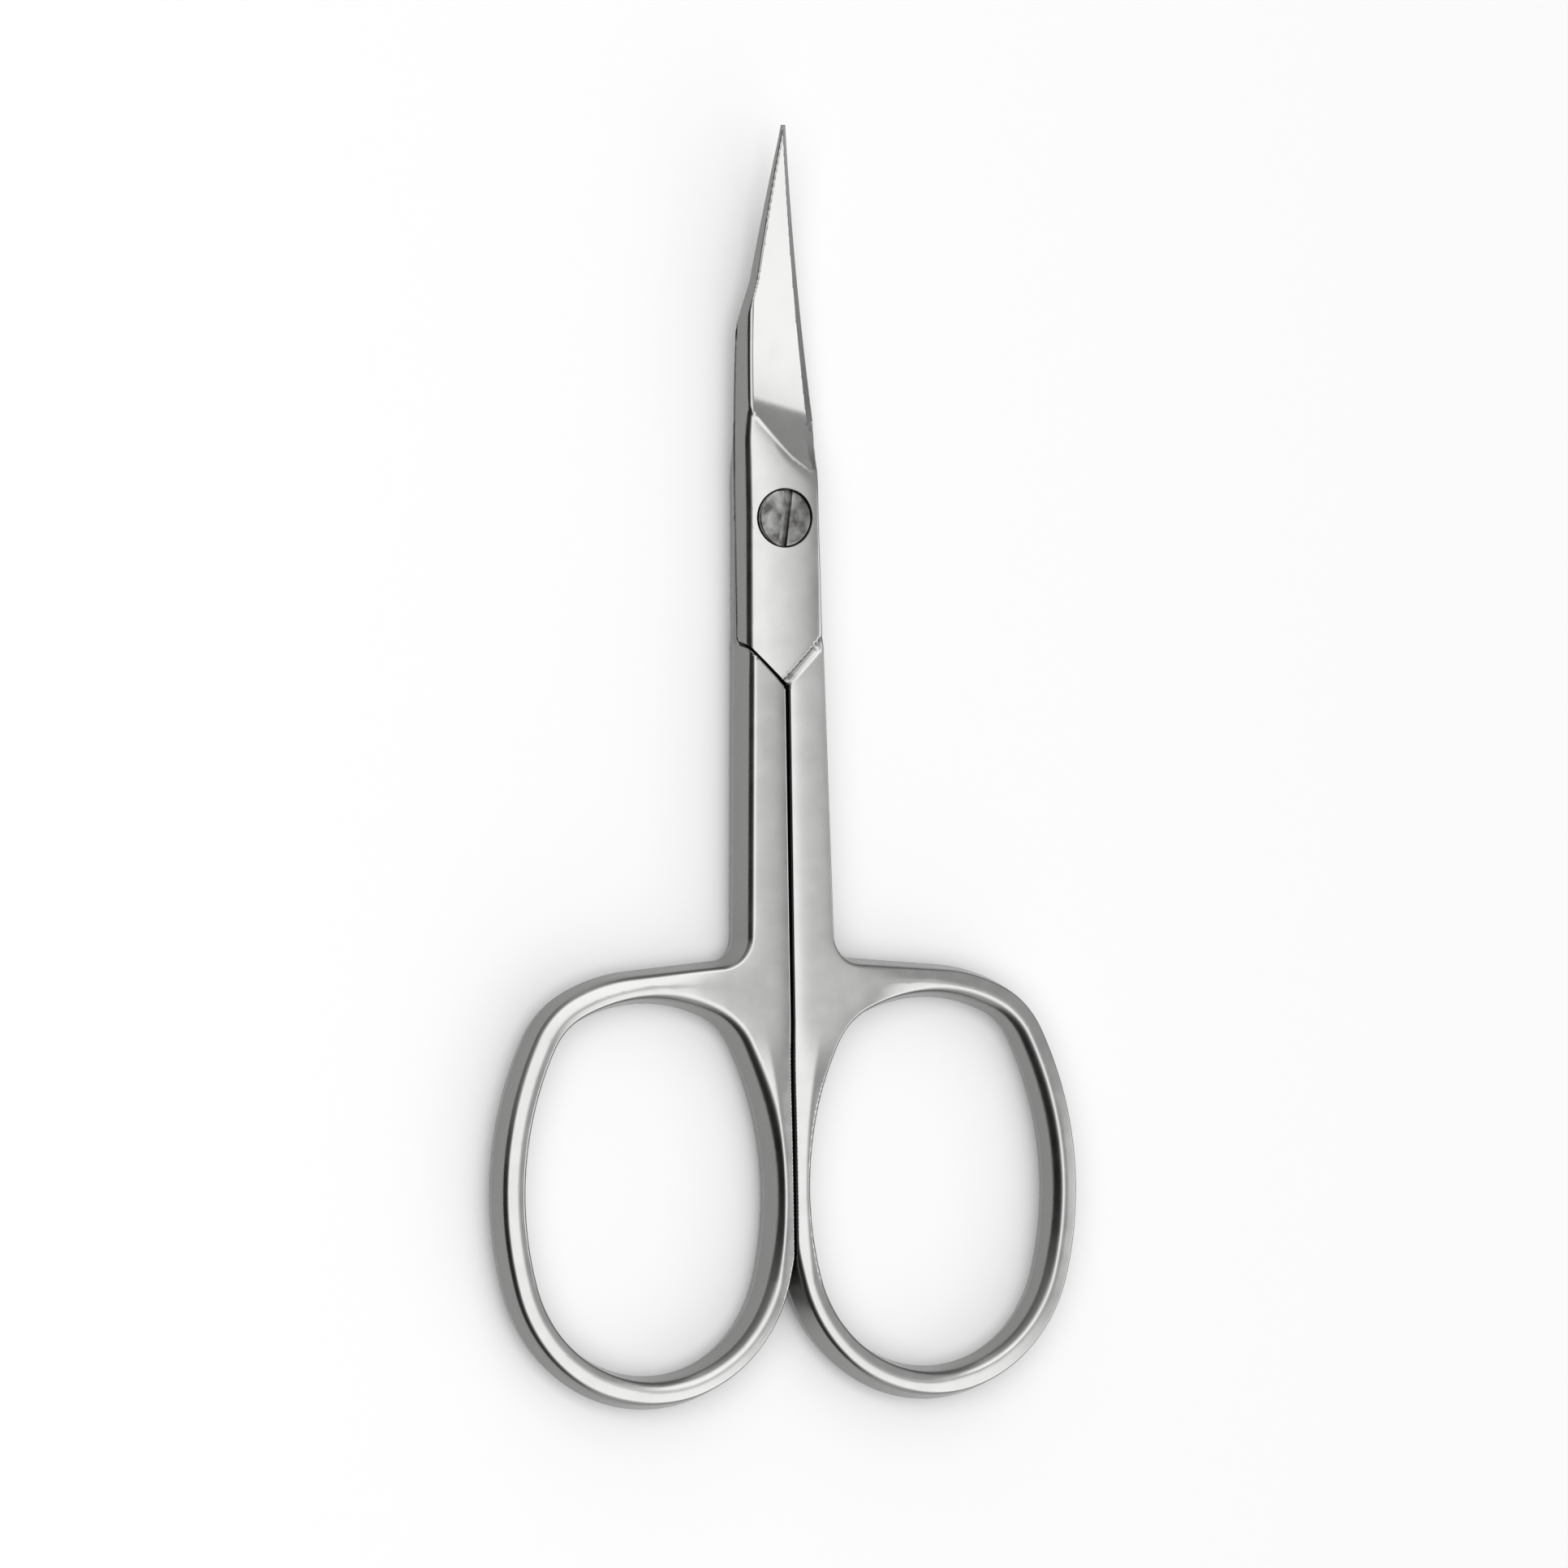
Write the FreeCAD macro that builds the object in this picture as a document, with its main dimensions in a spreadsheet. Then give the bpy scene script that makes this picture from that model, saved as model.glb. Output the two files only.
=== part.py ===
import FreeCAD, Part
import Sketcher
import math
import os
import re

# Cuticle scissors, closed, lying on their back.
# The pivot axis is Z, the tips point to +Y and the screw head faces +Z.
# Two forgings lap over each other at the pivot. Each is drawn face up, and the rear one is then turned over.

doc = FreeCAD.newDocument("cuticle_scissors")
sheet = doc.addObject("Spreadsheet::Sheet", "Params")

size = {
    # forging
    "half_thickness": 1.9,
    "draft_angle": 14.0,
    "plate_half_width": 3.1,
    "shank_flare": 1.27,
    "vee_reach": 12.1,
    "vee_gap": 0.16,
    "shank_gap": 0.13,
    "ring_gap": 0.03,
    "plate_step": 0.2,
    "step_slope": 60.0,
    "face_round": 0.5,
    "back_bevel": 0.35,
    "crook_round": 1.7,
    "saddle_rise": 5.0,
    # finger ring
    "ring_side": 11.0,
    "ring_reach": 47.0,
    "ring_contact": 52.0,
    "bar_width": 2.35,
    "hole_half_width": 9.4,
    "hole_half_height": 13.05,
    "hole_top_round": 11.0,
    "hole_corner_round": 4.6,
    "hole_side_round": 23.0,
    "hole_end_round": 8.9,
    # blade
    "tip_reach": 27.6,
    "tip_side": 0.15,
    "edge_reach": 6.6,
    "front_spine_reach": 13.2,
    "rear_spine_reach": 7.0,
    "kink_reach": 16.7,
    "kink_side": 2.0,
    "blank_reach": 30.0,
    "lap_clearance": 0.04,
    "lap_flat": 3.6,
    "lap_bend": 120.0,
    "grind_reach": 7.4,
    "grind_runout": 8.5,
    "runout_share": 0.8,
    "grind_tilt": 15.5,
    "grind_relief": 0.01,
    "front_grind_fall": 0.0,
    "front_grind_bend": 108.0,
    "rear_grind_fall": 4.9,
    "rear_grind_bend": 155.0,
    # pivot screw
    "head_radius": 2.0,
    "head_height": 0.9,
    "head_chamfer": 0.12,
    "neck_radius": 1.25,
    "thread_radius": 1.0,
    "thread_chamfer": 0.25,
    "thread_recess": 0.1,
    "slot_width": 0.5,
    "slot_depth": 0.4,
    "slot_turn": -8.0,
    "fit_clearance": 0.03,
}

for row, (alias, value) in enumerate(size.items(), start=1):
    sheet.set(f"A{row}", alias)
    sheet.set(f"B{row}", str(value))
    sheet.setAlias(f"B{row}", alias)
doc.recompute()

vector = FreeCAD.Vector
upward = vector(0, 0, 1)


def cells(words):
    # names every sheet value in an expression, such as "half_thickness - plate_step"
    return re.sub(r"[a-z]\w*", lambda found: ("Params." if found[0] in size else "") + found[0], words)


def origin_plane(body, role):
    return next(plane for plane in body.Origin.OriginFeatures if plane.Role == role)


def new_sketch(body, name, role="XY_Plane", height=None):
    sketch = body.newObject("Sketcher::SketchObject", name)
    sketch.AttachmentSupport = [(origin_plane(body, role), "")]
    sketch.MapMode = "FlatFace"
    if height:
        sketch.setExpression("AttachmentOffset.Base.z", cells(height))
    return sketch


def hold(sketch, name, words, constraint):
    # adds a dimension and binds it to the sheet
    index = sketch.addConstraint(constraint)
    sketch.renameConstraint(index, name)
    sketch.setExpression("Constraints." + name, cells(words))


def hold_radius(sketch, geometry, name, words):
    hold(sketch, name, words, Sketcher.Constraint("Radius", geometry, sketch.Geometry[geometry].Radius))


def hold_across(sketch, geometry, end, name, words):
    place = sketch.getPoint(geometry, end)
    hold(sketch, name, words, Sketcher.Constraint("DistanceX", -1, 1, geometry, end, place.x))


def hold_along(sketch, geometry, end, name, words):
    place = sketch.getPoint(geometry, end)
    hold(sketch, name, words, Sketcher.Constraint("DistanceY", -1, 1, geometry, end, place.y))


def fix_point(sketch, geometry, end, name, across, along):
    # holds one point of a curve at a distance from the sketch's origin
    hold_across(sketch, geometry, end, name + "_across", across)
    hold_along(sketch, geometry, end, name + "_along", along)


def profile(sketch, corners, bulges=None, smooth=()):
    # corners: a rough place and the expressions that fix it, or None where a curve does
    # bulges: the rough height of an arc over its chord, to the left of the way along the outline
    # smooth: corners at which the two sides run into each other
    bulges = bulges or {}
    count = len(corners)
    ends = []
    for index in range(count):
        start = vector(*corners[index][0], 0)
        finish = vector(*corners[(index + 1) % count][0], 0)
        chord = finish - start
        if index in bulges:
            left = vector(-chord.y, chord.x, 0).normalize()
            side = Part.Arc(start, (start + finish) / 2 + left * bulges[index], finish)
        else:
            side = Part.LineSegment(start, finish)
        sketch.addGeometry(side, False)
        first, second = (sketch.getPoint(index, end).distanceToPoint(start) for end in (1, 2))
        ends.append((1, 2) if first < second else (2, 1))
    for index in range(count):
        after = (index + 1) % count
        kind = "Tangent" if after in smooth else "Coincident"
        sketch.addConstraint(Sketcher.Constraint(kind, index, ends[index][1], after, ends[after][0]))
    for index, (place, across, along) in enumerate(corners):
        if across:
            hold_across(sketch, index, ends[index][0], f"corner{index}_across", across)
        if along:
            hold_along(sketch, index, ends[index][0], f"corner{index}_along", along)


def circle(sketch, name, words):
    made = sketch.addGeometry(Part.Circle(vector(0, 0, 0), upward, 1.0), False)
    sketch.addConstraint(Sketcher.Constraint("Coincident", made, 3, -1, 1))
    hold_radius(sketch, made, name, words)


def feature(body, kind, name, sketch, **settings):
    made = body.newObject("PartDesign::" + kind, name)
    made.Profile = sketch
    for key, value in settings.items():
        if isinstance(value, str) and key not in ("Type", "SideType"):
            made.setExpression(key, cells(value))
        else:
            setattr(made, key, value)
    doc.recompute()
    return made


def ring_centres():
    # centres of the arcs of the finger hole, which the outside of the ring shares
    side, reach = size["ring_side"], -size["ring_reach"]
    top = vector(side, reach + size["hole_half_height"] - size["hole_top_round"], 0)
    end = vector(side, reach - size["hole_half_height"] + size["hole_end_round"], 0)
    across = size["hole_half_width"] - size["hole_side_round"]
    rise = math.sqrt((size["hole_side_round"] - size["hole_end_round"]) ** 2 - across**2)
    right_flank = vector(side + across, end.y + rise, 0)
    to_top = top - right_flank
    flank_reach = size["hole_side_round"] - size["hole_corner_round"]
    top_reach = size["hole_top_round"] - size["hole_corner_round"]
    along = (flank_reach**2 - top_reach**2 + to_top.Length**2) / (2 * to_top.Length)
    aside = math.sqrt(flank_reach**2 - along**2)
    unit = vector(to_top).normalize()
    right_corner = right_flank + unit * along + vector(-unit.y, unit.x, 0) * aside

    def mirrored(point):
        return vector(2 * side - point.x, point.y, 0)

    return {
        "top": top,
        "end": end,
        "right_flank": right_flank,
        "left_flank": mirrored(right_flank),
        "right_corner": right_corner,
        "left_corner": mirrored(right_corner),
    }


round_cell = {
    "top": "hole_top_round",
    "end": "hole_end_round",
    "right_flank": "hole_side_round",
    "left_flank": "hole_side_round",
    "right_corner": "hole_corner_round",
    "left_corner": "hole_corner_round",
}


def joint_angle(centres, inner, outer):
    # direction in which two touching arcs meet, seen from the centre of the larger one
    away = centres[inner] - centres[outer]
    return math.atan2(away.y, away.x)


def add_arc(sketch, centre, radius, start, finish):
    circle = Part.Circle(centre, upward, radius)
    return sketch.addGeometry(Part.ArcOfCircle(circle, start, finish), False)


def hold_ring_arc(sketch, index, name, outside):
    # radius and, for the arcs that no tangency places, the centre
    grown = " + bar_width" if outside else ""
    hold_radius(sketch, index, name + "_radius", round_cell[name] + grown)
    if name == "top":
        fix_point(sketch, index, 3, name, "ring_side", "hole_half_height - ring_reach - hole_top_round")
    if name == "end":
        fix_point(sketch, index, 3, name, "ring_side", "hole_end_round - ring_reach - hole_half_height")
    if name.endswith("flank"):
        sign = "+" if name.startswith("right") else "-"
        hold_across(sketch, index, 3, name, f"ring_side {sign} (hole_half_width - hole_side_round)")


def ring_arcs(sketch, names, outside, first_start, last_finish):
    # a chain of touching arcs, anticlockwise; the chain may be open at both ends
    centres = ring_centres()
    grown = size["bar_width"] if outside else 0.0
    start = first_start
    indices = []
    for place, name in enumerate(names):
        after = names[place + 1] if place + 1 < len(names) else None
        finish = last_finish
        if after:
            larger, smaller = sorted((name, after), key=lambda key: -size[round_cell[key]])
            finish = joint_angle(centres, smaller, larger)
        while finish < start:
            finish += 2 * math.pi
        radius = size[round_cell[name]] + grown
        indices.append(add_arc(sketch, centres[name], radius, start, finish))
        start = finish
    for place, name in enumerate(names):
        hold_ring_arc(sketch, indices[place], name, outside)
        if place:
            sketch.addConstraint(Sketcher.Constraint("Tangent", indices[place - 1], 2, indices[place], 1))
    return indices


def hole_outline(sketch):
    names = ["right_flank", "right_corner", "top", "left_corner", "left_flank", "end"]
    centres = ring_centres()
    start = joint_angle(centres, "end", "right_flank")
    indices = ring_arcs(sketch, names, False, start, start + 2 * math.pi)
    sketch.addConstraint(Sketcher.Constraint("Tangent", indices[-1], 2, indices[0], 1))


def crook():
    # the saddle rises from the top of the ring, and the crook bends from it into the shank's outer side
    rise, flare = math.radians(size["saddle_rise"]), math.radians(size["shank_flare"])
    over = vector(math.sin(rise), math.cos(rise), 0)
    along = vector(-over.y, over.x, 0)
    aside = vector(math.cos(flare), math.sin(flare), 0)
    leave = ring_centres()["top"] + over * (size["hole_top_round"] + size["bar_width"])
    start = leave + over * size["crook_round"] - vector(size["plate_half_width"], 0, 0)
    middle = leave + over * size["crook_round"]
    middle += along * (size["crook_round"] - start.dot(aside)) * (1 / along.dot(aside))
    return leave, middle, middle - over * size["crook_round"], middle - aside * size["crook_round"]


def forging_outline(sketch, upper):
    # ring and shank, closed over the corners in upper, from the shank's outer side round to its inner side
    leave, middle, saddle_end, shank_end = crook()
    rise, flare = math.radians(size["saddle_rise"]), math.radians(size["shank_flare"])
    names = ["left_flank", "end", "right_flank", "right_corner", "top"]
    arcs = ring_arcs(sketch, names, True, math.pi, math.pi / 2 - rise)
    saddle = sketch.addGeometry(Part.LineSegment(leave, saddle_end), False)
    hold(sketch, "saddle_angle", "180 - saddle_rise", Sketcher.Constraint("Angle", saddle, math.pi - rise))
    bend = add_arc(sketch, middle, size["crook_round"], math.pi + flare, 3 * math.pi / 2 - rise)
    hold_radius(sketch, bend, "crook_radius", "crook_round")
    sketch.addConstraint(Sketcher.Constraint("Tangent", arcs[-1], 2, saddle, 1))
    sketch.addConstraint(Sketcher.Constraint("Tangent", saddle, 2, bend, 2))
    inner_x = size["ring_side"] - size["hole_half_width"] - size["bar_width"]
    inner_end = vector(inner_x, ring_centres()["left_flank"].y, 0)
    places = [shank_end] + [vector(*corner[0], 0) for corner in upper] + [inner_end]
    lines = []
    for start, finish in zip(places, places[1:]):
        lines.append(sketch.addGeometry(Part.LineSegment(start, finish), False))
    sketch.addConstraint(Sketcher.Constraint("Tangent", bend, 1, lines[0], 1))
    upright = math.pi / 2 + math.radians(size["shank_flare"])
    hold(sketch, "shank_angle", "90 + shank_flare", Sketcher.Constraint("Angle", lines[0], upright))
    for number, corner in enumerate(upper):
        sketch.addConstraint(Sketcher.Constraint("Coincident", lines[number], 2, lines[number + 1], 1))
        fix_point(sketch, lines[number], 2, f"corner{number}", corner[1], corner[2])
    sketch.addConstraint(Sketcher.Constraint("Tangent", lines[-1], 2, arcs[0], 1))


def pad_outlines(body):
    # two drafted layers on the lap plane, the upper one with the plate and the blank of the blade
    width, low = size["plate_half_width"], -size["vee_reach"] - size["half_thickness"]
    low_words = "- vee_reach - half_thickness"
    flared = f"- plate_half_width + ({low_words}) * tan(shank_flare)"
    upper = new_sketch(body, "upper_outline", height="half_thickness")
    forging_outline(
        upper,
        [
            ((width, 0), "plate_half_width", "0"),
            ((width, size["blank_reach"]), "plate_half_width", "blank_reach"),
            ((-width, size["blank_reach"]), "- plate_half_width", "blank_reach"),
            ((-width, 0), "- plate_half_width", "0"),
            ((-width, low), flared, low_words),
        ],
    )
    drafted = {"Length": "half_thickness", "TaperAngle": "- draft_angle"}
    feature(body, "Pad", "upper_layer", upper, **drafted)
    lower = new_sketch(body, "lower_outline", height="half_thickness")
    forging_outline(
        lower,
        [
            ((width, 0), "plate_half_width", "0"),
            ((-width, 0), "- plate_half_width", "0"),
        ],
    )
    feature(body, "Pad", "lower_layer", lower, Reversed=True, **drafted)


def cut_hole(body):
    for name, turned in (("upper_hole", False), ("lower_hole", True)):
        sketch = new_sketch(body, name + "_outline", height="half_thickness")
        hole_outline(sketch)
        deep = "2 * half_thickness"
        feature(body, "Pocket", name, sketch, Length=deep, TaperAngle="draft_angle", Reversed=not turned)


def cut_lap(body, front):
    # clears the lower layer above the shoulder, then bends the blade's inner face about the pivot
    width, reach, vee = size["plate_half_width"], size["blank_reach"], size["vee_reach"]
    level = size["half_thickness"] + size["lap_clearance"] / 2
    level_words = "half_thickness + lap_clearance / 2"
    recess = new_sketch(body, "recess_outline", height=level_words)
    profile(
        recess,
        [
            ((-2 * width, -2 * width - vee), "- 2 * plate_half_width", "- 2 * plate_half_width - vee_reach"),
            ((2 * width, 2 * width - vee), "2 * plate_half_width", "2 * plate_half_width - vee_reach"),
            ((2 * width, 2 * reach), "2 * plate_half_width", "2 * blank_reach"),
            ((-2 * width, 2 * reach), "- 2 * plate_half_width", "2 * blank_reach"),
        ],
    )
    feature(body, "Pocket", "recess", recess, Length="2 * half_thickness")
    if not front:
        blank = new_sketch(body, "bend_outline", height=level_words)
        profile(
            blank,
            [
                ((width, 0), "plate_half_width", "0"),
                ((width, reach), "plate_half_width", "blank_reach"),
                ((-width, reach), "- plate_half_width", "blank_reach"),
                ((-width, 0), "- plate_half_width", "0"),
            ],
        )
        feature(body, "Pad", "bend_blank", blank, Length="2 * half_thickness", Reversed=True)
    sign = 1 if front else -1
    outer = reach + width
    run = outer - size["lap_flat"]
    rise = run**2 / (2 * size["lap_bend"])
    sketch = new_sketch(body, "lap_profile", "YZ_Plane")
    profile(
        sketch,
        [
            ((0, level), "0", level_words),
            ((size["lap_flat"], level), "lap_flat", level_words),
            ((outer, level + sign * rise), "blank_reach + plate_half_width", None),
            ((outer, -2 * size["half_thickness"]), "blank_reach + plate_half_width", "- 2 * half_thickness"),
            ((0, -2 * size["half_thickness"]), "0", "- 2 * half_thickness"),
        ],
        bulges={1: -sign * rise / 4},
        smooth=(1,),
    )
    hold_radius(sketch, 1, "bend_radius", "lap_bend")
    axis = (sketch, ["V_Axis"])
    feature(body, "Groove", "lap_face", sketch, ReferenceAxis=axis, Angle=180.0, Midplane=True)


def cut_plate_face(body):
    # the plate's face lies a step below the shank's
    width, vee, grind = size["plate_half_width"], size["vee_reach"], size["grind_reach"]
    step = new_sketch(body, "step_outline", height="2 * half_thickness")
    profile(
        step,
        [
            ((-2 * width, -2 * width - vee), "- 2 * plate_half_width", "- 2 * plate_half_width - vee_reach"),
            ((2 * width, 2 * width - vee), "2 * plate_half_width", "2 * plate_half_width - vee_reach"),
            ((2 * width, grind), "2 * plate_half_width", "grind_reach"),
            ((-2 * width, grind), "- 2 * plate_half_width", "grind_reach"),
        ],
    )
    feature(body, "Pocket", "plate_face", step, Length="plate_step", TaperAngle="- step_slope")


def grind_blade(body, front):
    # trims the cutting side and the spine, then hollows the outer face along a tilted direction
    width, reach = size["plate_half_width"], size["blank_reach"]
    tip, tip_side = size["tip_reach"], size["tip_side"]
    edge = new_sketch(body, "edge_outline")
    profile(
        edge,
        [
            ((width, size["edge_reach"]), "plate_half_width", "edge_reach"),
            ((tip_side, tip), "tip_side", "tip_reach"),
            ((-2 * width, tip), "- 2 * plate_half_width", "tip_reach"),
            ((-2 * width, 2 * reach), "- 2 * plate_half_width", "2 * blank_reach"),
            ((2 * width, 2 * reach), "2 * plate_half_width", "2 * blank_reach"),
            ((2 * width, size["edge_reach"]), "2 * plate_half_width", "edge_reach"),
        ],
    )
    feature(body, "Pocket", "cutting_edge", edge, Type="ThroughAll", SideType="Symmetric")
    half = "front" if front else "rear"
    spine_cell = half + "_spine_reach"
    spine = new_sketch(body, "spine_outline")
    corners = [
        ((-width, size[spine_cell]), "- plate_half_width", spine_cell),
        ((-tip_side, tip), "- tip_side", "tip_reach"),
        ((-tip_side, 2 * reach), "- tip_side", "2 * blank_reach"),
        ((-2 * width, 2 * reach), "- 2 * plate_half_width", "2 * blank_reach"),
        ((-2 * width, size[spine_cell]), "- 2 * plate_half_width", spine_cell),
    ]
    if front:
        corners.insert(1, ((-size["kink_side"], size["kink_reach"]), "- kink_side", "kink_reach"))
    profile(spine, corners)
    feature(body, "Pocket", "spine", spine, Type="ThroughAll", SideType="Symmetric")
    sign = 1 if front else -1
    tilt, draft = math.radians(size["grind_tilt"]), math.radians(size["draft_angle"])
    plate = size["half_thickness"] - size["plate_step"]
    base = size["half_thickness"] + plate - (width - plate * math.tan(draft)) * math.tan(tilt)
    start, runout, bend = size["grind_reach"], size["grind_runout"], size[half + "_grind_bend"]
    run = reach + width - start
    fall = math.radians(size[half + "_grind_fall"])
    rise = sign * run**2 / (2 * bend) - run * math.tan(fall)
    base_words = (
        "2 * half_thickness - plate_step - grind_relief"
        " - (plate_half_width - (half_thickness - plate_step) * tan(draft_angle)) * tan(grind_tilt)"
    )
    back = math.asin(size["runout_share"])
    back_end = start - size["runout_share"] * runout
    back_words = "grind_reach - runout_share * grind_runout"
    top = 4 * size["half_thickness"]
    face = new_sketch(body, "grind_profile", "YZ_Plane")
    profile(
        face,
        [
            ((back_end, base + runout * (1 - math.cos(back))), back_words, None),
            ((start, base), "grind_reach", base_words),
            ((reach + width, base + rise), "blank_reach + plate_half_width", None),
            ((reach + width, top), "blank_reach + plate_half_width", "4 * half_thickness"),
            ((back_end, top), back_words, "4 * half_thickness"),
        ],
        bulges={0: -runout * (1 - math.cos(back / 2)), 1: -sign * run**2 / (8 * bend)},
        smooth=(1,),
    )
    hold_radius(face, 0, "runout_radius", "grind_runout")
    hold_radius(face, 1, "face_radius", half + "_grind_bend")
    hold_across(face, 0, 3, "runout_centre", f"grind_reach + grind_runout * sin({half}_grind_fall)")
    ground = body.newObject("PartDesign::Pocket", "grind")
    ground.Profile = face
    ground.UseCustomVector = True
    ground.Direction = vector(math.cos(tilt), 0, -math.sin(tilt))
    ground.setExpression("Direction.x", cells("cos(grind_tilt)"))
    ground.setExpression("Direction.z", cells("- sin(grind_tilt)"))
    ground.SideType = "Symmetric"
    ground.setExpression("Length", cells("6 * plate_half_width"))
    doc.recompute()


def part_halves(body):
    # the flat inner side that faces the other shank, and the edge of the plate beside the other shoulder
    width, vee, ring = size["plate_half_width"], size["vee_reach"], size["ring_reach"]
    rise = 2 * width + size["vee_gap"] + size["shank_gap"] - vee
    rise_words = "2 * plate_half_width + vee_gap + shank_gap - vee_reach"
    inner = new_sketch(body, "inner_outline")
    profile(
        inner,
        [
            ((size["shank_gap"], size["vee_gap"] - vee), "shank_gap", "vee_gap - vee_reach"),
            ((-2 * width, rise), "- 2 * plate_half_width", rise_words),
            ((-2 * width, -2 * ring), "- 2 * plate_half_width", "- 2 * ring_reach"),
            ((size["ring_gap"], -2 * ring), "ring_gap", "- 2 * ring_reach"),
            ((size["ring_gap"], -size["ring_contact"]), "ring_gap", "- ring_contact"),
        ],
    )
    feature(body, "Pocket", "inner_side", inner, Type="ThroughAll", SideType="Symmetric")


def bore_pivot(body, front):
    sketch = new_sketch(body, "bore_outline")
    radius = "neck_radius" if front else "thread_radius"
    circle(sketch, "bore_radius", radius + " + fit_clearance")
    feature(body, "Pocket", "bore", sketch, Type="ThroughAll", SideType="Symmetric")
    if front:
        seat = new_sketch(body, "seat_outline", height="2 * half_thickness")
        circle(seat, "seat_radius", "head_radius + fit_clearance")
        feature(body, "Pocket", "head_seat", seat, Length="plate_step + head_height + lap_clearance / 2")


def rim_edges(shape, upper):
    # the edges round the upper or the lower face
    side = 1 if upper else -1
    middle = size["half_thickness"]
    rims = []
    for number, edge in enumerate(shape.Edges, start=1):
        heights = [side * (point.z - middle) for point in edge.discretize(3)]
        if min(heights) > middle / 2:
            rims.append(f"Edge{number}")
    return rims


def finish_rims(body, front):
    # rims that show from the front are rounded, and those on which the scissors lie are bevelled
    finishes = (
        ("rim_round", "Fillet", "Radius", "face_round", front),
        ("rim_bevel", "Chamfer", "Size", "back_bevel", not front),
    )
    for name, kind, setting, words, upper in finishes:
        base = body.Tip
        finish = body.newObject("PartDesign::" + kind, name)
        finish.Base = (base, rim_edges(base.Shape, upper))
        finish.setExpression(setting, cells(words))
        doc.recompute()


def raise_tip(body):
    # the blank of the front blade stands higher, because the blade bends towards the front
    width, reach, grind = size["plate_half_width"], size["blank_reach"], size["grind_reach"]
    sketch = new_sketch(body, "tip_outline", height="half_thickness")
    profile(
        sketch,
        [
            ((width, grind), "plate_half_width", "grind_reach"),
            ((width, reach), "plate_half_width", "blank_reach"),
            ((-width, reach), "- plate_half_width", "blank_reach"),
            ((-width, grind), "- plate_half_width", "grind_reach"),
        ],
    )
    feature(body, "Pad", "tip_blank", sketch, Length="2 * half_thickness", TaperAngle="- draft_angle")


def forge_half(label, front):
    body = doc.addObject("PartDesign::Body", label)
    body.Label = label
    doc.recompute()
    pad_outlines(body)
    cut_hole(body)
    finish_rims(body, front)
    if front:
        raise_tip(body)
    cut_lap(body, front)
    cut_plate_face(body)
    grind_blade(body, front)
    part_halves(body)
    bore_pivot(body, front)
    return body


def turn_screw(label):
    # flat head in the front plate, neck as the hinge pin, thread in the rear plate
    body = doc.addObject("PartDesign::Body", label)
    body.Label = label
    doc.recompute()
    top = 2 * size["half_thickness"] - size["plate_step"]
    seat = top - size["head_height"]
    end = size["plate_step"] + size["thread_recess"]
    head, neck, thread = size["head_radius"], size["neck_radius"], size["thread_radius"]
    edge, point = size["head_chamfer"], size["thread_chamfer"]
    top_words = "2 * half_thickness - plate_step"
    seat_words = top_words + " - head_height"
    end_words = "plate_step + thread_recess"
    sketch = new_sketch(body, "screw_profile", "XZ_Plane")
    profile(
        sketch,
        [
            ((0, top), "0", top_words),
            ((0, end), "0", end_words),
            ((thread - point, end), "thread_radius - thread_chamfer", end_words),
            ((thread, end + point), "thread_radius", end_words + " + thread_chamfer"),
            ((thread, size["half_thickness"]), "thread_radius", "half_thickness"),
            ((neck, size["half_thickness"]), "neck_radius", "half_thickness"),
            ((neck, seat), "neck_radius", seat_words),
            ((head, seat), "head_radius", seat_words),
            ((head, top - edge), "head_radius", top_words + " - head_chamfer"),
            ((head - edge, top), "head_radius - head_chamfer", top_words),
        ],
    )
    feature(body, "Revolution", "shank_turned", sketch, ReferenceAxis=(sketch, ["V_Axis"]), Angle=360.0)
    slot = new_sketch(body, "slot_outline", height=top_words)
    half, reach = size["slot_width"] / 2, 2 * head
    profile(
        slot,
        [
            ((half, -reach), "slot_width / 2", "- 2 * head_radius"),
            ((half, reach), "slot_width / 2", "2 * head_radius"),
            ((-half, reach), "- slot_width / 2", "2 * head_radius"),
            ((-half, -reach), "- slot_width / 2", "- 2 * head_radius"),
        ],
    )
    feature(body, "Pocket", "slot", slot, Length="slot_depth")
    return body


front_half = forge_half("front_half", True)

rear_half = forge_half("rear_half", False)
rear_half.Placement = FreeCAD.Placement(vector(0, 0, 0), FreeCAD.Rotation(vector(0, 1, 0), 180))
rear_half.setExpression("Placement.Base.z", cells("2 * half_thickness"))

pivot_screw = turn_screw("pivot_screw")
pivot_screw.Placement = FreeCAD.Placement(vector(0, 0, 0), FreeCAD.Rotation(upward, size["slot_turn"]))
pivot_screw.setExpression("Placement.Rotation.Angle", cells("slot_turn"))
doc.recompute()

for item in doc.Objects:
    if "Invalid" in item.State or "Error" in item.State:
        raise RuntimeError(f"{item.Label}: {item.getStatusString()}")

halves_and_screw = [front_half, rear_half, pivot_screw]
for piece in halves_and_screw:
    shape = piece.Shape
    if shape.isNull() or not shape.isValid() or len(shape.Solids) != 1:
        raise RuntimeError(f"{piece.Label}: not one valid solid")
    box = shape.optimalBoundingBox()
    sides = [round(side, 2) for side in (box.XLength, box.YLength, box.ZLength)]
    print(piece.Label, round(shape.Volume, 2), sides)

os.makedirs("parts", exist_ok=True)
for piece in halves_and_screw:
    piece.Shape.exportStep(f"parts/{piece.Label}.step")
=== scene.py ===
import math
import bpy
import numpy as np
from mathutils import Matrix, Vector
from mathutils.geometry import delaunay_2d_cdt


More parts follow.
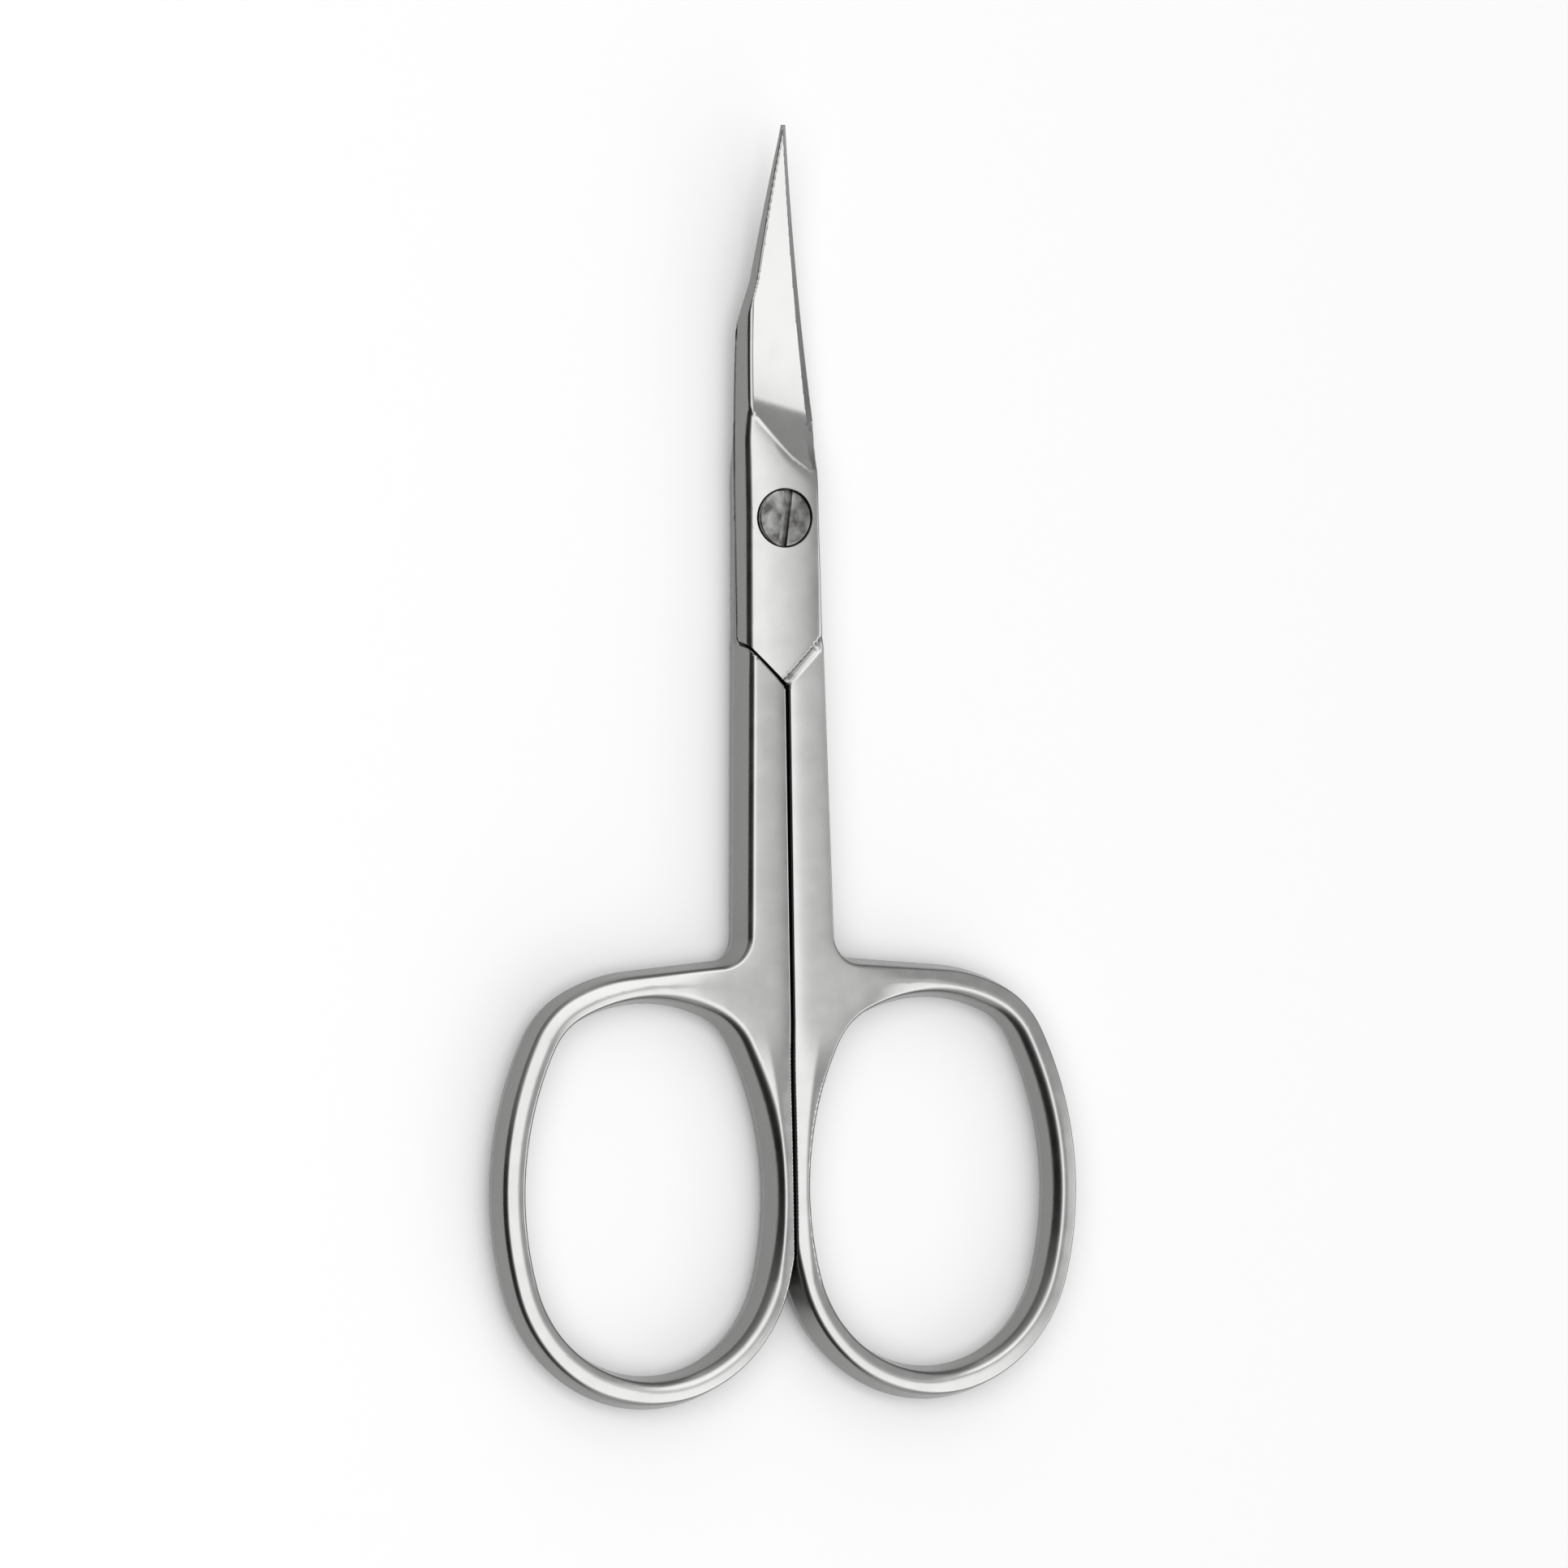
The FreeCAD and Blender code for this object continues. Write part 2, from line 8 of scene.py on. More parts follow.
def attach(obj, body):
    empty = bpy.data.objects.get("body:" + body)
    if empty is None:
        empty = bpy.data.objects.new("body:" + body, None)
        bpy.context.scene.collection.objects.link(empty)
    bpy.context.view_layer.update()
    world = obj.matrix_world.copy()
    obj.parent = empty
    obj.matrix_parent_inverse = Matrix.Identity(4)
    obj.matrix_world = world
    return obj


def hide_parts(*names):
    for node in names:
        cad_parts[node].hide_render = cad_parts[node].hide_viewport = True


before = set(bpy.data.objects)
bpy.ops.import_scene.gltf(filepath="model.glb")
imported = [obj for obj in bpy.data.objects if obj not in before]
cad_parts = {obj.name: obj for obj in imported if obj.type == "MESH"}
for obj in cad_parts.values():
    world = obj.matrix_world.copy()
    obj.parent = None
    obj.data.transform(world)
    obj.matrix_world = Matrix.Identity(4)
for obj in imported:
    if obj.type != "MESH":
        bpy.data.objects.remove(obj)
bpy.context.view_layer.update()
mm = 0.001  # pieces are worked out in millimetres and stored in metres
bpy.ops.object.select_all(action="DESELECT")

# forged halves, drawn face up with the ring on the right; the rear one is turned over at the end
# their ground and polished faces are heights over the outline, given by formula,
# because cuts and bevels on polished steel show every seam
# sizes are in millimetres, angles in degrees
forging = {
    "lapLevel": 1.9,  # the two forgings meet here, and their sides fall back above and below it
    "thickness": 1.9,
    "draft": 14.0,
    "plateRound": 0.48,
    "shankRound": 0.55,
    "ringRound": 0.42,
    "sharpRound": 0.16,
    "holeRound": (0.22, 0.75),  # on the side that faces right, and on the one that faces left
    "floorRound": 0.8,  # on the side that the scissors lie on
    "plateHalfWidth": 3.1,
    "flare": 1.27,
    "veeReach": 12.1,
    "veeGap": 0.3,
    "shankGap": 0.13,
    "ringGap": 0.09,
    "ringContact": 52.0,
    "gapRound": 0.11,
    "veeRound": 0.05,
    "shankCrown": (0.29, 1.3),  # how much a side pulls the face down, and how far in
    "ringSlope": 12.0,  # the ring's face falls to both sides of a soft ridge
    "ridgeShift": 0.2,
    "ridgeSoft": 0.1,
    "ringLean": 1.5,  # the upper bar falls away from the shank
    "leanFrom": 4.0,
    "leanReach": 11.0,
    "ringDrop": 0.02,
    "crownSoft": 0.1,
    "ringWidths": (4.4, 2.2),  # the shank's face turns into the ring's while the metal narrows so far
    "shiftFrom": (8.0, 14.0),  # across, where the ridge moves outward
    "holeTurn": 4.0,  # to each side of the ring's middle, where one rounding of the hole turns into the other
    "ringFrom": (-28.0, -36.0),  # along, where the shank's rounding turns into the ring's
    "plateFrom": (-12.0, -8.0),  # and into the plate's
    "sharpFrom": (7.0, 14.0),  # across, where the ring's outside gets sharper or softer
    "plateFloorRound": 0.5,
    "ledgeSlope": 0.45,  # the lap falls back beside the other half
    "ledgeStart": 0.12,
    "ledgeWidth": 0.4,
    "gapOverrun": 30.0,  # how far the sides are carried on past their ends
    "flankOverrun": 14.0,
    "sideOverrun": 4.0,
    "veeOverrun": 2.0,
    "satinAndShadeBeside": (1.0, 0.7),  # how far from a side the satin and the painted shade end
    "satinAndShadeLean": (0.82, 0.95),  # upright share of the normal, from satin with painted shade to polished
}
fingerRing = {
    "side": 11.0,
    "reach": 47.0,
    "barWidth": 2.349,
    "halfWidth": 9.4,
    "halfHeight": 13.05,
    "topRound": 11.0,
    "cornerRound": 4.6,
    "flankRound": 23.0,
    "endRound": 8.9,
    "crookRound": 1.7,
    "saddleRise": 5.0,
}
plate = {
    "level": 1.9,  # above the lap
    "fall": 0.019,
    "crownSide": 1.3,
    "crownRound": 17.0,
    "rightFall": 0.018,
    "rightFallFrom": 1.0,
    "stepWidth": 0.58,
    "grooveDepth": 0.1,
    "grooveWidth": 0.09,
    "ridgeDrop": 0.17,
    "ridgeReach": 0.45,
    "liftFrom": 5.0,
    "lift": 0.08,
}
frontBlade = {
    "tipReach": 27.6,
    "tipSide": 0.15,
    "edgeReach": 6.6,
    "spineReach": 13.2,
    "kink": (-2.0, 16.7),
    "spineRound": 0.16,
    "lapFlat": 3.6,
    "lapBend": 120.0,
    "lapGap": 0.02,
    "grindReach": 8.1,
    "grindSkew": 0.22,
    "grindLevel": 1.10,
    "grindTilt": 15.5,
    "grindFall": 0.0,
    "grindBend": 117.0,
    "runoutRound": 8.0,
    "runoutShare": 0.95,  # of the round, past which the run-out goes on as a slope
    "runoutSlope": 3.0,
    "ridgeRound": 0.05,
    "bevelAtBase": 0.6,
    "bevelAtTip": 0.36,
    "bevelOverrun": 1.0,
    "edgeLand": 0.03,
    "bendSign": 1.0,
}
rearBlade = dict(
    frontBlade,
    spineReach=7.0,
    kink=None,
    grindLevel=0.95,
    grindFall=4.9,
    grindBend=-155.0,
    bendSign=-1.0,
)
bore = {
    "seatRadius": 2.06,
    "seatChamfer": 0.05,
    "seatDepth": 1.1,
    "neckRadius": 1.29,
    "threadRadius": 1.04,
    "corners": 96,
}
# the points that carry the faces lie close together where a face bends sharply
net = {
    "alongStep": 0.28,
    "wallLevels": (0.10, 0.20, 0.30, 0.36, 0.40, 0.44, 0.48, 0.53, 0.59, 0.66, 0.74, 0.84, 0.96, 1.08),
    "edgeLevels": (0.02, 0.05, 0.09, 0.14, 0.22),
    "bevelLevels": (0.05, 0.35, 0.7, 0.97, 1.0, 1.03, 1.4),
    "fieldStep": 0.30,
    "fieldShiftShare": 0.13,
    "fineStep": 0.13,
    "runoutField": (2.6, 10.0),
    "runoutMargin": 0.1,
    "stepField": (-0.25, 0.7),
    "stepOverrun": 0.5,
    "stepRows": 1.5,
    "stepMiddle": 0.3,
    "stepAway": 0.8,
    "wallsAway": 1.15,
    "groundAway": 0.28,
    "boreRowShares": (1.03, 1.07, 1.13),
    "boreAwayShares": (1.06, 0.12),
    "clearShare": 0.9,
    "ownShare": 0.98,
    "endReach": 3.0,
    # left, right, low, high and step at the kink, the tip, the rings' contact and the shoulder's left end
    "closeFields": (
        (-forging["plateHalfWidth"], -1.5, 12.4, 17.6, 0.09),
        (-1.1, 1.3, 19.0, 27.5, 0.09),
        (0.0, 2.4, -57.0, -37.0, 0.12),
        (-forging["plateHalfWidth"], -1.4, -10.8, -7.6, 0.07),
    ),
    "shoulderOverrun": 0.5,
    "shoulderReach": 4.5,
    "shoulderPoints": 60,
    "lapPoints": 10,
    "slopeStep": 0.012,
    "smoothAngle": 35.0,
    "angleSlack": 0.002,
    "mergeReach": 1e-5,
    "thinWall": 1e-4,
    "far": 1e3,
}


def arc(centre, radius, start, finish):
    return {"kind": "arc", "centre": np.array(centre), "radius": radius, "start": start, "finish": finish}


def line(start, finish):
    return {"kind": "line", "start": np.array(start, float), "finish": np.array(finish, float)}


def walk(piece, step):
    # points along a piece, without its last one, and the way to the left of it
    if piece["kind"] == "line":
        way = piece["finish"] - piece["start"]
        length = np.hypot(*way)
        count = max(2, math.ceil(length / step))
        shares = np.arange(count) / count
        left = np.array([-way[1], way[0]]) / length
        return piece["start"] + shares[:, None] * way, np.repeat(left[None], len(shares), 0)
    turn = piece["finish"] - piece["start"]
    count = max(4, math.ceil(abs(turn) * piece["radius"] / step))
    angles = piece["start"] + turn * np.arange(count) / count
    spokes = np.stack([np.cos(angles), np.sin(angles)], 1)
    return piece["centre"] + piece["radius"] * spokes, -spokes * np.sign(turn)


def distance(pieces, x, y):
    # to the nearest piece, positive on the side of the metal
    best = np.full(np.shape(x), net["far"])
    slack = net["angleSlack"]
    for piece in pieces:
        if piece["kind"] == "line":
            way = piece["finish"] - piece["start"]
            length = np.hypot(*way)
            way = way / length
            along = (x - piece["start"][0]) * way[0] + (y - piece["start"][1]) * way[1]
            aside = (y - piece["start"][1]) * way[0] - (x - piece["start"][0]) * way[1]
            beyond = np.maximum(np.maximum(-along, along - length), 0)
            aside = np.where(beyond > 0, np.hypot(aside, beyond), aside)
            faced = beyond >= 0
        else:
            turn = piece["finish"] - piece["start"]
            aside = piece["radius"] - np.hypot(x - piece["centre"][0], y - piece["centre"][1])
            aside = aside * np.sign(turn)
            angle = np.arctan2(y - piece["centre"][1], x - piece["centre"][0])
            first = min(piece["start"], piece["finish"])
            faced = (angle - first + slack) % (2 * math.pi) <= abs(turn) + 2 * slack
        best = np.where(faced & (np.abs(aside) < np.abs(best)), aside, best)
    return best


def ringCentres():
    # the hole and the outside of the ring share the centres of their arcs
    r = fingerRing
    top = np.array([r["side"], -r["reach"] + r["halfHeight"] - r["topRound"]])
    end = np.array([r["side"], -r["reach"] - r["halfHeight"] + r["endRound"]])
    across = r["halfWidth"] - r["flankRound"]
    rise = math.sqrt((r["flankRound"] - r["endRound"]) ** 2 - across**2)
    flank = np.array([r["side"] + across, end[1] + rise])
    toTop = top - flank
    span = np.hypot(*toTop)
    flankReach = r["flankRound"] - r["cornerRound"]
    topReach = r["topRound"] - r["cornerRound"]
    along = (flankReach**2 - topReach**2 + span**2) / (2 * span)
    aside = math.sqrt(flankReach**2 - along**2)
    corner = flank + toTop / span * along + np.array([-toTop[1], toTop[0]]) / span * aside
    mirror, middle = np.array([-1, 1]), np.array([r["side"], 0])
    return {
        "end": (end, r["endRound"]),
        "rightFlank": (flank, r["flankRound"]),
        "rightCorner": (corner, r["cornerRound"]),
        "top": (top, r["topRound"]),
        "leftCorner": (2 * middle + mirror * corner, r["cornerRound"]),
        "leftFlank": (2 * middle + mirror * flank, r["flankRound"]),
    }


def ringArcs(grown, names, first, last):
    # a chain of touching arcs, anticlockwise
    centres = ringCentres()
    start = first
    made = []
    for place, name in enumerate(names):
        centre, radius = centres[name]
        finish = last
        if place + 1 < len(names):
            after, afterRadius = centres[names[place + 1]]
            way = (after - centre) if radius > afterRadius else (centre - after)
            finish = math.atan2(way[1], way[0])
        while finish < start:
            finish += 2 * math.pi
        made.append(arc(centre, radius + grown, start, finish))
        start = finish
    return made


def holePieces():
    # clockwise, so that the metal lies to the left
    centres = ringCentres()
    way = centres["end"][0] - centres["rightFlank"][0]
    start = math.atan2(way[1], way[0])
    names = ["rightFlank", "rightCorner", "top", "leftCorner", "leftFlank", "end"]
    pieces = ringArcs(0.0, names, start, start + 2 * math.pi)
    return [arc(p["centre"], p["radius"], p["finish"], p["start"]) for p in reversed(pieces)]


def crook():
    # the saddle rises from the top of the ring, and the crook bends from it into the shank's side
    rise, flare = math.radians(fingerRing["saddleRise"]), math.radians(forging["flare"])
    bend = fingerRing["crookRound"]
    over = np.array([math.sin(rise), math.cos(rise)])
    along = np.array([-over[1], over[0]])
    aside = np.array([math.cos(flare), math.sin(flare)])
    top, radius = ringCentres()["top"]
    leave = top + over * (radius + fingerRing["barWidth"])
    middle = leave + over * bend
    toSide = middle - np.array([forging["plateHalfWidth"], 0])
    middle = middle + along * (bend - toSide @ aside) / (along @ aside)
    saddle = line(leave, middle - over * bend)
    return saddle, arc(middle, bend, 1.5 * math.pi - rise, math.pi + flare), middle - aside * bend


def outlinePieces(blade):
    # anticlockwise, from the top of the gap between the shanks; the metal lies to the left
    f, r = forging, fingerRing
    width, tip, tipSide = f["plateHalfWidth"], blade["tipReach"], blade["tipSide"]
    gapTop = (f["shankGap"], f["veeGap"] - f["veeReach"])
    gapLow = (f["ringGap"], -f["ringContact"])
    flank, flankRadius = ringCentres()["leftFlank"]
    flankRadius += r["barWidth"]
    drop = math.sqrt(flankRadius**2 - (flank[0] - f["ringGap"]) ** 2)
    leave = (f["ringGap"], flank[1] - drop)
    leaveAngle = math.atan2(-drop, f["ringGap"] - flank[0]) % (2 * math.pi)
    saddle, bend, shankEnd = crook()
    names = ["leftFlank", "end", "rightFlank", "rightCorner", "top"]
    ring = ringArcs(r["barWidth"], names, leaveAngle, 2.5 * math.pi - math.radians(r["saddleRise"]))
    veeLeft = (-width, f["veeGap"] + f["shankGap"] + width - f["veeReach"])
    # the drafted side ends on the bent lap
    heights = np.linspace(blade["spineReach"], blade["lapFlat"], net["lapPoints"])
    bent = np.maximum(lapHeight(blade, -width, heights) - blade["lapGap"], 0)
    rise = bent * math.tan(math.radians(f["draft"]))
    lowSide = [np.array([-width + a, b]) for a, b in zip(rise, heights)]
    if blade["kink"]:
        lowSide[0][1] += rise[0] * (blade["kink"][1] - blade["spineReach"]) / (blade["kink"][0] + width)
    spineLow = tuple(lowSide[0])
    lowSide.append(np.array(veeLeft))
    corners = [(-tipSide, tip)] + ([blade["kink"]] if blade["kink"] else []) + [spineLow]
    return {
        "gap": [line(gapTop, gapLow), line(gapLow, leave)],
        "ring": ring,
        "crook": [saddle, bend],
        "right": [line(shankEnd, (width, 0)), line((width, 0), (width, blade["edgeReach"]))],
        "edge": [line((width, blade["edgeReach"]), (tipSide, tip))],
        "tip": [line((tipSide, tip), (-tipSide, tip))],
        "spine": [line(a, b) for a, b in zip(corners, corners[1:])],
        "left": [line(a, b) for a, b in zip(lowSide, lowSide[1:])],
        "vee": [line(veeLeft, gapTop)],
    }


def gapWall(outline):
    # the inner side, carried on below the place where the rings part
    low = outline["gap"][1]["start"]
    return [outline["gap"][0], line(low, low - np.array([0, forging["gapOverrun"]]))]


def outerWalls(outline, blade):
    # the forged sides, before the gap, the blade and the shoulder are cut out of them
    f, width = forging, forging["plateHalfWidth"]
    first = outline["ring"][0]
    flank = arc(first["centre"], first["radius"], math.pi, first["finish"])
    above = first["centre"] - np.array([first["radius"], 0])
    above = line(above + np.array([0, f["flankOverrun"]]), above)
    right = [outline["right"][0], line((width, 0), (width, blade["edgeReach"] + f["sideOverrun"]))]
    leftTop = (-width, blade["spineReach"] + f["sideOverrun"])
    left = [line(leftTop, (-width, -f["veeReach"] - f["veeOverrun"]))]
    return [flank, above] + outline["ring"][1:] + outline["crook"] + right, left


drafted = ("ring", "crook", "right", "left")


def smoothStep(low, high, value):
    share = np.clip((value - low) / (high - low), 0, 1)
    return share * share * (3 - 2 * share)


def softMin(a, b, reach):
    blend = np.maximum(reach - np.abs(a - b), 0) / reach
    return np.minimum(a, b) - blend * blend * reach / 4


def shoulder(wallDistance, face, radius):
    # a drafted wall that turns into the face with a round edge
    draft = math.radians(forging["draft"])
    turn = math.pi / 2 - draft
    radius = radius + 0 * wallDistance
    centre = face * math.tan(draft) + radius * math.tan(turn / 2)
    wallEnd = centre - radius * math.sin(turn)
    inside = np.clip(centre - wallDistance, 0, radius)
    rounded = face - radius + np.sqrt(radius**2 - inside**2)
    return np.where(wallDistance < wallEnd, wallDistance / math.tan(draft), rounded)


def edgeRound(edgeDistance, radius):
    inside = np.clip(radius - edgeDistance, 0, radius)
    return radius - np.sqrt(radius**2 - inside**2)


def lapHeight(blade, x, y):
    # the inner face, flat at the pivot and bent towards the tip
    f = forging
    reach = np.maximum(np.hypot(x, y) - blade["lapFlat"], 0)
    bent = blade["bendSign"] * reach**2 / (2 * blade["lapBend"])
    ledge = f["ledgeSlope"] * np.clip(x - f["plateHalfWidth"] + f["ledgeStart"], 0, f["ledgeWidth"])
    return blade["lapGap"] + np.where(y > 0, bent, ledge)


def crowned(outline, hole, x, y):
    # the shank's face swells towards its middle; the ring's falls from a soft ridge to both sides
    f = forging
    pull, reach = f["shankCrown"]
    widening = np.minimum(y, 0) * math.tan(math.radians(f["flare"]))
    half = (f["plateHalfWidth"] - f["shankGap"] - widening) / 2
    outside = outline["ring"] + outline["crook"] + outline["right"]
    sides = (outside, hole, gapWall(outline))
    away = [np.abs(distance(side, x, y)) for side in sides]
    sag = sum(np.exp(-side / reach) for side in away)
    swelling = pull * (2 * np.exp(-half / reach) - sag)
    shankFace = softMin(f["thickness"] + swelling, f["thickness"] + 0 * x, f["crownSoft"])
    fromOutside = np.minimum(away[0], away[2])
    shift = f["ridgeShift"] * smoothStep(*f["shiftFrom"], x)
    side = (fromOutside - away[1]) / 2 - shift
    slope = math.tan(math.radians(f["ringSlope"]))
    fromRidge = np.sqrt(side**2 + f["ridgeSoft"] ** 2) - f["ridgeSoft"]
    ringFace = f["thickness"] - f["ringDrop"] - slope * fromRidge
    leaning = np.clip(x - f["leanFrom"], 0, f["leanReach"])
    ringFace = ringFace - math.tan(math.radians(f["ringLean"])) * leaning
    narrow = smoothStep(*f["ringWidths"], fromOutside + away[1])
    return shankFace + (ringFace - shankFace) * narrow


def walled(sides, hole, face, sideRound, holeRound, x, y):
    # the drafted sides fall away from the face
    top = shoulder(distance(hole, x, y), face, holeRound)
    for side, radius in zip(sides, sideRound):
        top = np.minimum(top, shoulder(distance(side, x, y), face, radius))
    return top


def holeRoundAt(x, front):
    # the edge that faces left in the closed scissors is softer
    turn = forging["holeTurn"]
    share = smoothStep(-turn, turn, (x - fingerRing["side"]) * (1 if front else -1))
    low, high = forging["holeRound"]
    return low + (high - low) * share


def roundsAt(y):
    f = forging
    onRing = smoothStep(*f["ringFrom"], y)
    onPlate = smoothStep(*f["plateFrom"], y)
    rounds = f["shankRound"] + (f["ringRound"] - f["shankRound"]) * onRing
    return rounds + (f["plateRound"] - rounds) * onPlate


def outsideRounds(x, y, front):
    # the edges that face right in the closed scissors are left sharper
    across = smoothStep(*forging["sharpFrom"], x)
    onRing = smoothStep(*forging["ringFrom"], y)
    sharp = (1 - onRing + onRing * across) if front else onRing * (1 - across)
    return roundsAt(y) + (forging["sharpRound"] - roundsAt(y)) * sharp


def bevelWidth(blade, y):
    span = blade["tipReach"] - blade["edgeReach"]
    share = np.clip((y - blade["edgeReach"]) / span, 0, 1)
    return blade["bevelAtBase"] + (blade["bevelAtTip"] - blade["bevelAtBase"]) * share


def faceHeight(outline, hole, blade, front, x, y):
    # height of the outer face over the lap level
    f, p = forging, plate
    shankFace = crowned(outline, hole, x, y)
    run = y - blade["grindReach"] + blade["grindSkew"] * x
    tilt = math.tan(math.radians(blade["grindTilt"]))
    fall = math.tan(math.radians(blade["grindFall"]))
    wheel = blade["runoutRound"]
    back = np.clip(-run, 0, wheel * blade["runoutShare"])
    runout = wheel - np.sqrt(wheel**2 - back**2) + blade["runoutSlope"] * (-run - back) * (run < 0)
    hollow = np.where(run > 0, run**2 / (2 * blade["grindBend"]) - fall * run, runout - fall * run)
    ground = blade["grindLevel"] - tilt * x + hollow
    crown = (x - p["crownSide"]) ** 2 / (2 * p["crownRound"])
    plateFace = p["level"] - crown + p["fall"] * np.minimum(y, 0)
    plateFace = plateFace - p["rightFall"] * np.maximum(x - p["rightFallFrom"], 0) ** 3
    plateFace = plateFace + p["lift"] * np.maximum(y - p["liftFrom"], 0) ** 2
    overGround = np.maximum(ground - plateFace, 0)
    plateFace = plateFace - p["ridgeDrop"] * np.exp(-overGround / p["ridgeReach"])
    step = (y - x + f["veeReach"]) / math.sqrt(2)
    onPlate = smoothStep(0, p["stepWidth"], step)
    flat = shankFace + (plateFace - shankFace) * onPlate
    flat = flat - p["grooveDepth"] * np.exp(-(((step - p["stepWidth"]) / p["grooveWidth"]) ** 2))
    face = softMin(flat, ground, blade["ridgeRound"])
    underside = np.where(step > 0, f["plateFloorRound"], f["floorRound"])
    rounds = (outsideRounds(x, y, front), roundsAt(y)) if front else (underside, underside)
    holeRound = holeRoundAt(x, front) if front else f["floorRound"]
    top = walled(outerWalls(outline, blade), hole, face, rounds, holeRound, x, y)
    top = top - edgeRound(distance(gapWall(outline), x, y), f["gapRound"])
    top = top - edgeRound(distance(outline["vee"], x, y), f["veeRound"])
    top = top - edgeRound(distance(outline["spine"], x, y), blade["spineRound"])
    lap = lapHeight(blade, x, y)
    # the cutting bevel falls from the ground face to the edge
    bevel = bevelWidth(blade, y)
    fromEdge = distance(outline["edge"], x, y)
    keep = np.clip(fromEdge / bevel, 0, 1)
    full = top - lap + tilt * np.maximum(bevel - fromEdge, 0)
    beveled = lap + blade["edgeLand"] + np.maximum(full - blade["edgeLand"], 0) * keep
    atEdge = (fromEdge < bevel) & (y > blade["edgeReach"] - blade["bevelOverrun"])
    cut = np.where(atEdge, np.minimum(top, beveled), top)
    return np.where(y - x > -f["veeReach"], np.maximum(cut, lap), top)


def backHeight(outline, hole, blade, front, x, y):
    # the other side of shank and ring, below the lap level
    f = forging
    rounds = f["floorRound"] if front else outsideRounds(x, y, front)
    holeRound = f["floorRound"] if front else holeRoundAt(x, front)
    sides = outerWalls(outline, blade)[:1]
    low = walled(sides, hole, crowned(outline, hole, x, y), (rounds,), holeRound, x, y)
    low = low - edgeRound(distance(gapWall(outline), x, y), f["gapRound"])
    return -(low - edgeRound((x - y - f["veeReach"]) / math.sqrt(2), f["veeRound"]))


def satinAndShadeShare(outline, hole, blade, x, y, upright):
    # the sides, the steep cutting bevel and the groove at the shoulder stay satin and are painted darker as
    # shade; the faces are polished
    f, p = forging, plate
    sides = sum((pieces for name, pieces in outline.items() if name != "edge"), []) + hole
    beside = smoothStep(*f["satinAndShadeBeside"], np.abs(distance(sides, x, y)))
    beside = np.maximum(beside, distance(outline["edge"], x, y) < bevelWidth(blade, y))
    steep = 1 - smoothStep(*f["satinAndShadeLean"], np.abs(upright))
    step = (y - x + f["veeReach"]) / math.sqrt(2)
    # the groove is painted darker, as shade in a crease
    groove = np.exp(-(((step - p["stepWidth"]) / p["grooveWidth"]) ** 2))
    groove = groove * (upright > 0) * (x > 0)
    return np.maximum(beside * steep, groove)


def insideLoop(points, loop):
    # winding of a closed loop round each point
    total = np.zeros(len(points))
    ax, ay = loop[-1][0] - points[:, 0], loop[-1][1] - points[:, 1]
    for corner in loop:
        bx, by = corner[0] - points[:, 0], corner[1] - points[:, 1]
        total += np.arctan2(ax * by - ay * bx, ax * bx + ay * by)
        ax, ay = bx, by
    return np.abs(total) > math.pi


def ringOfPoints(radius, count):
    angles = 2 * math.pi * np.arange(count) / count
    return np.stack([radius * np.cos(angles), radius * np.sin(angles)], 1)


def gridOfPoints(left, right, low, high, step, row):
    grid = np.meshgrid(np.arange(left, right, step), np.arange(low, high, row))
    return np.stack(grid, -1).reshape(-1, 2)


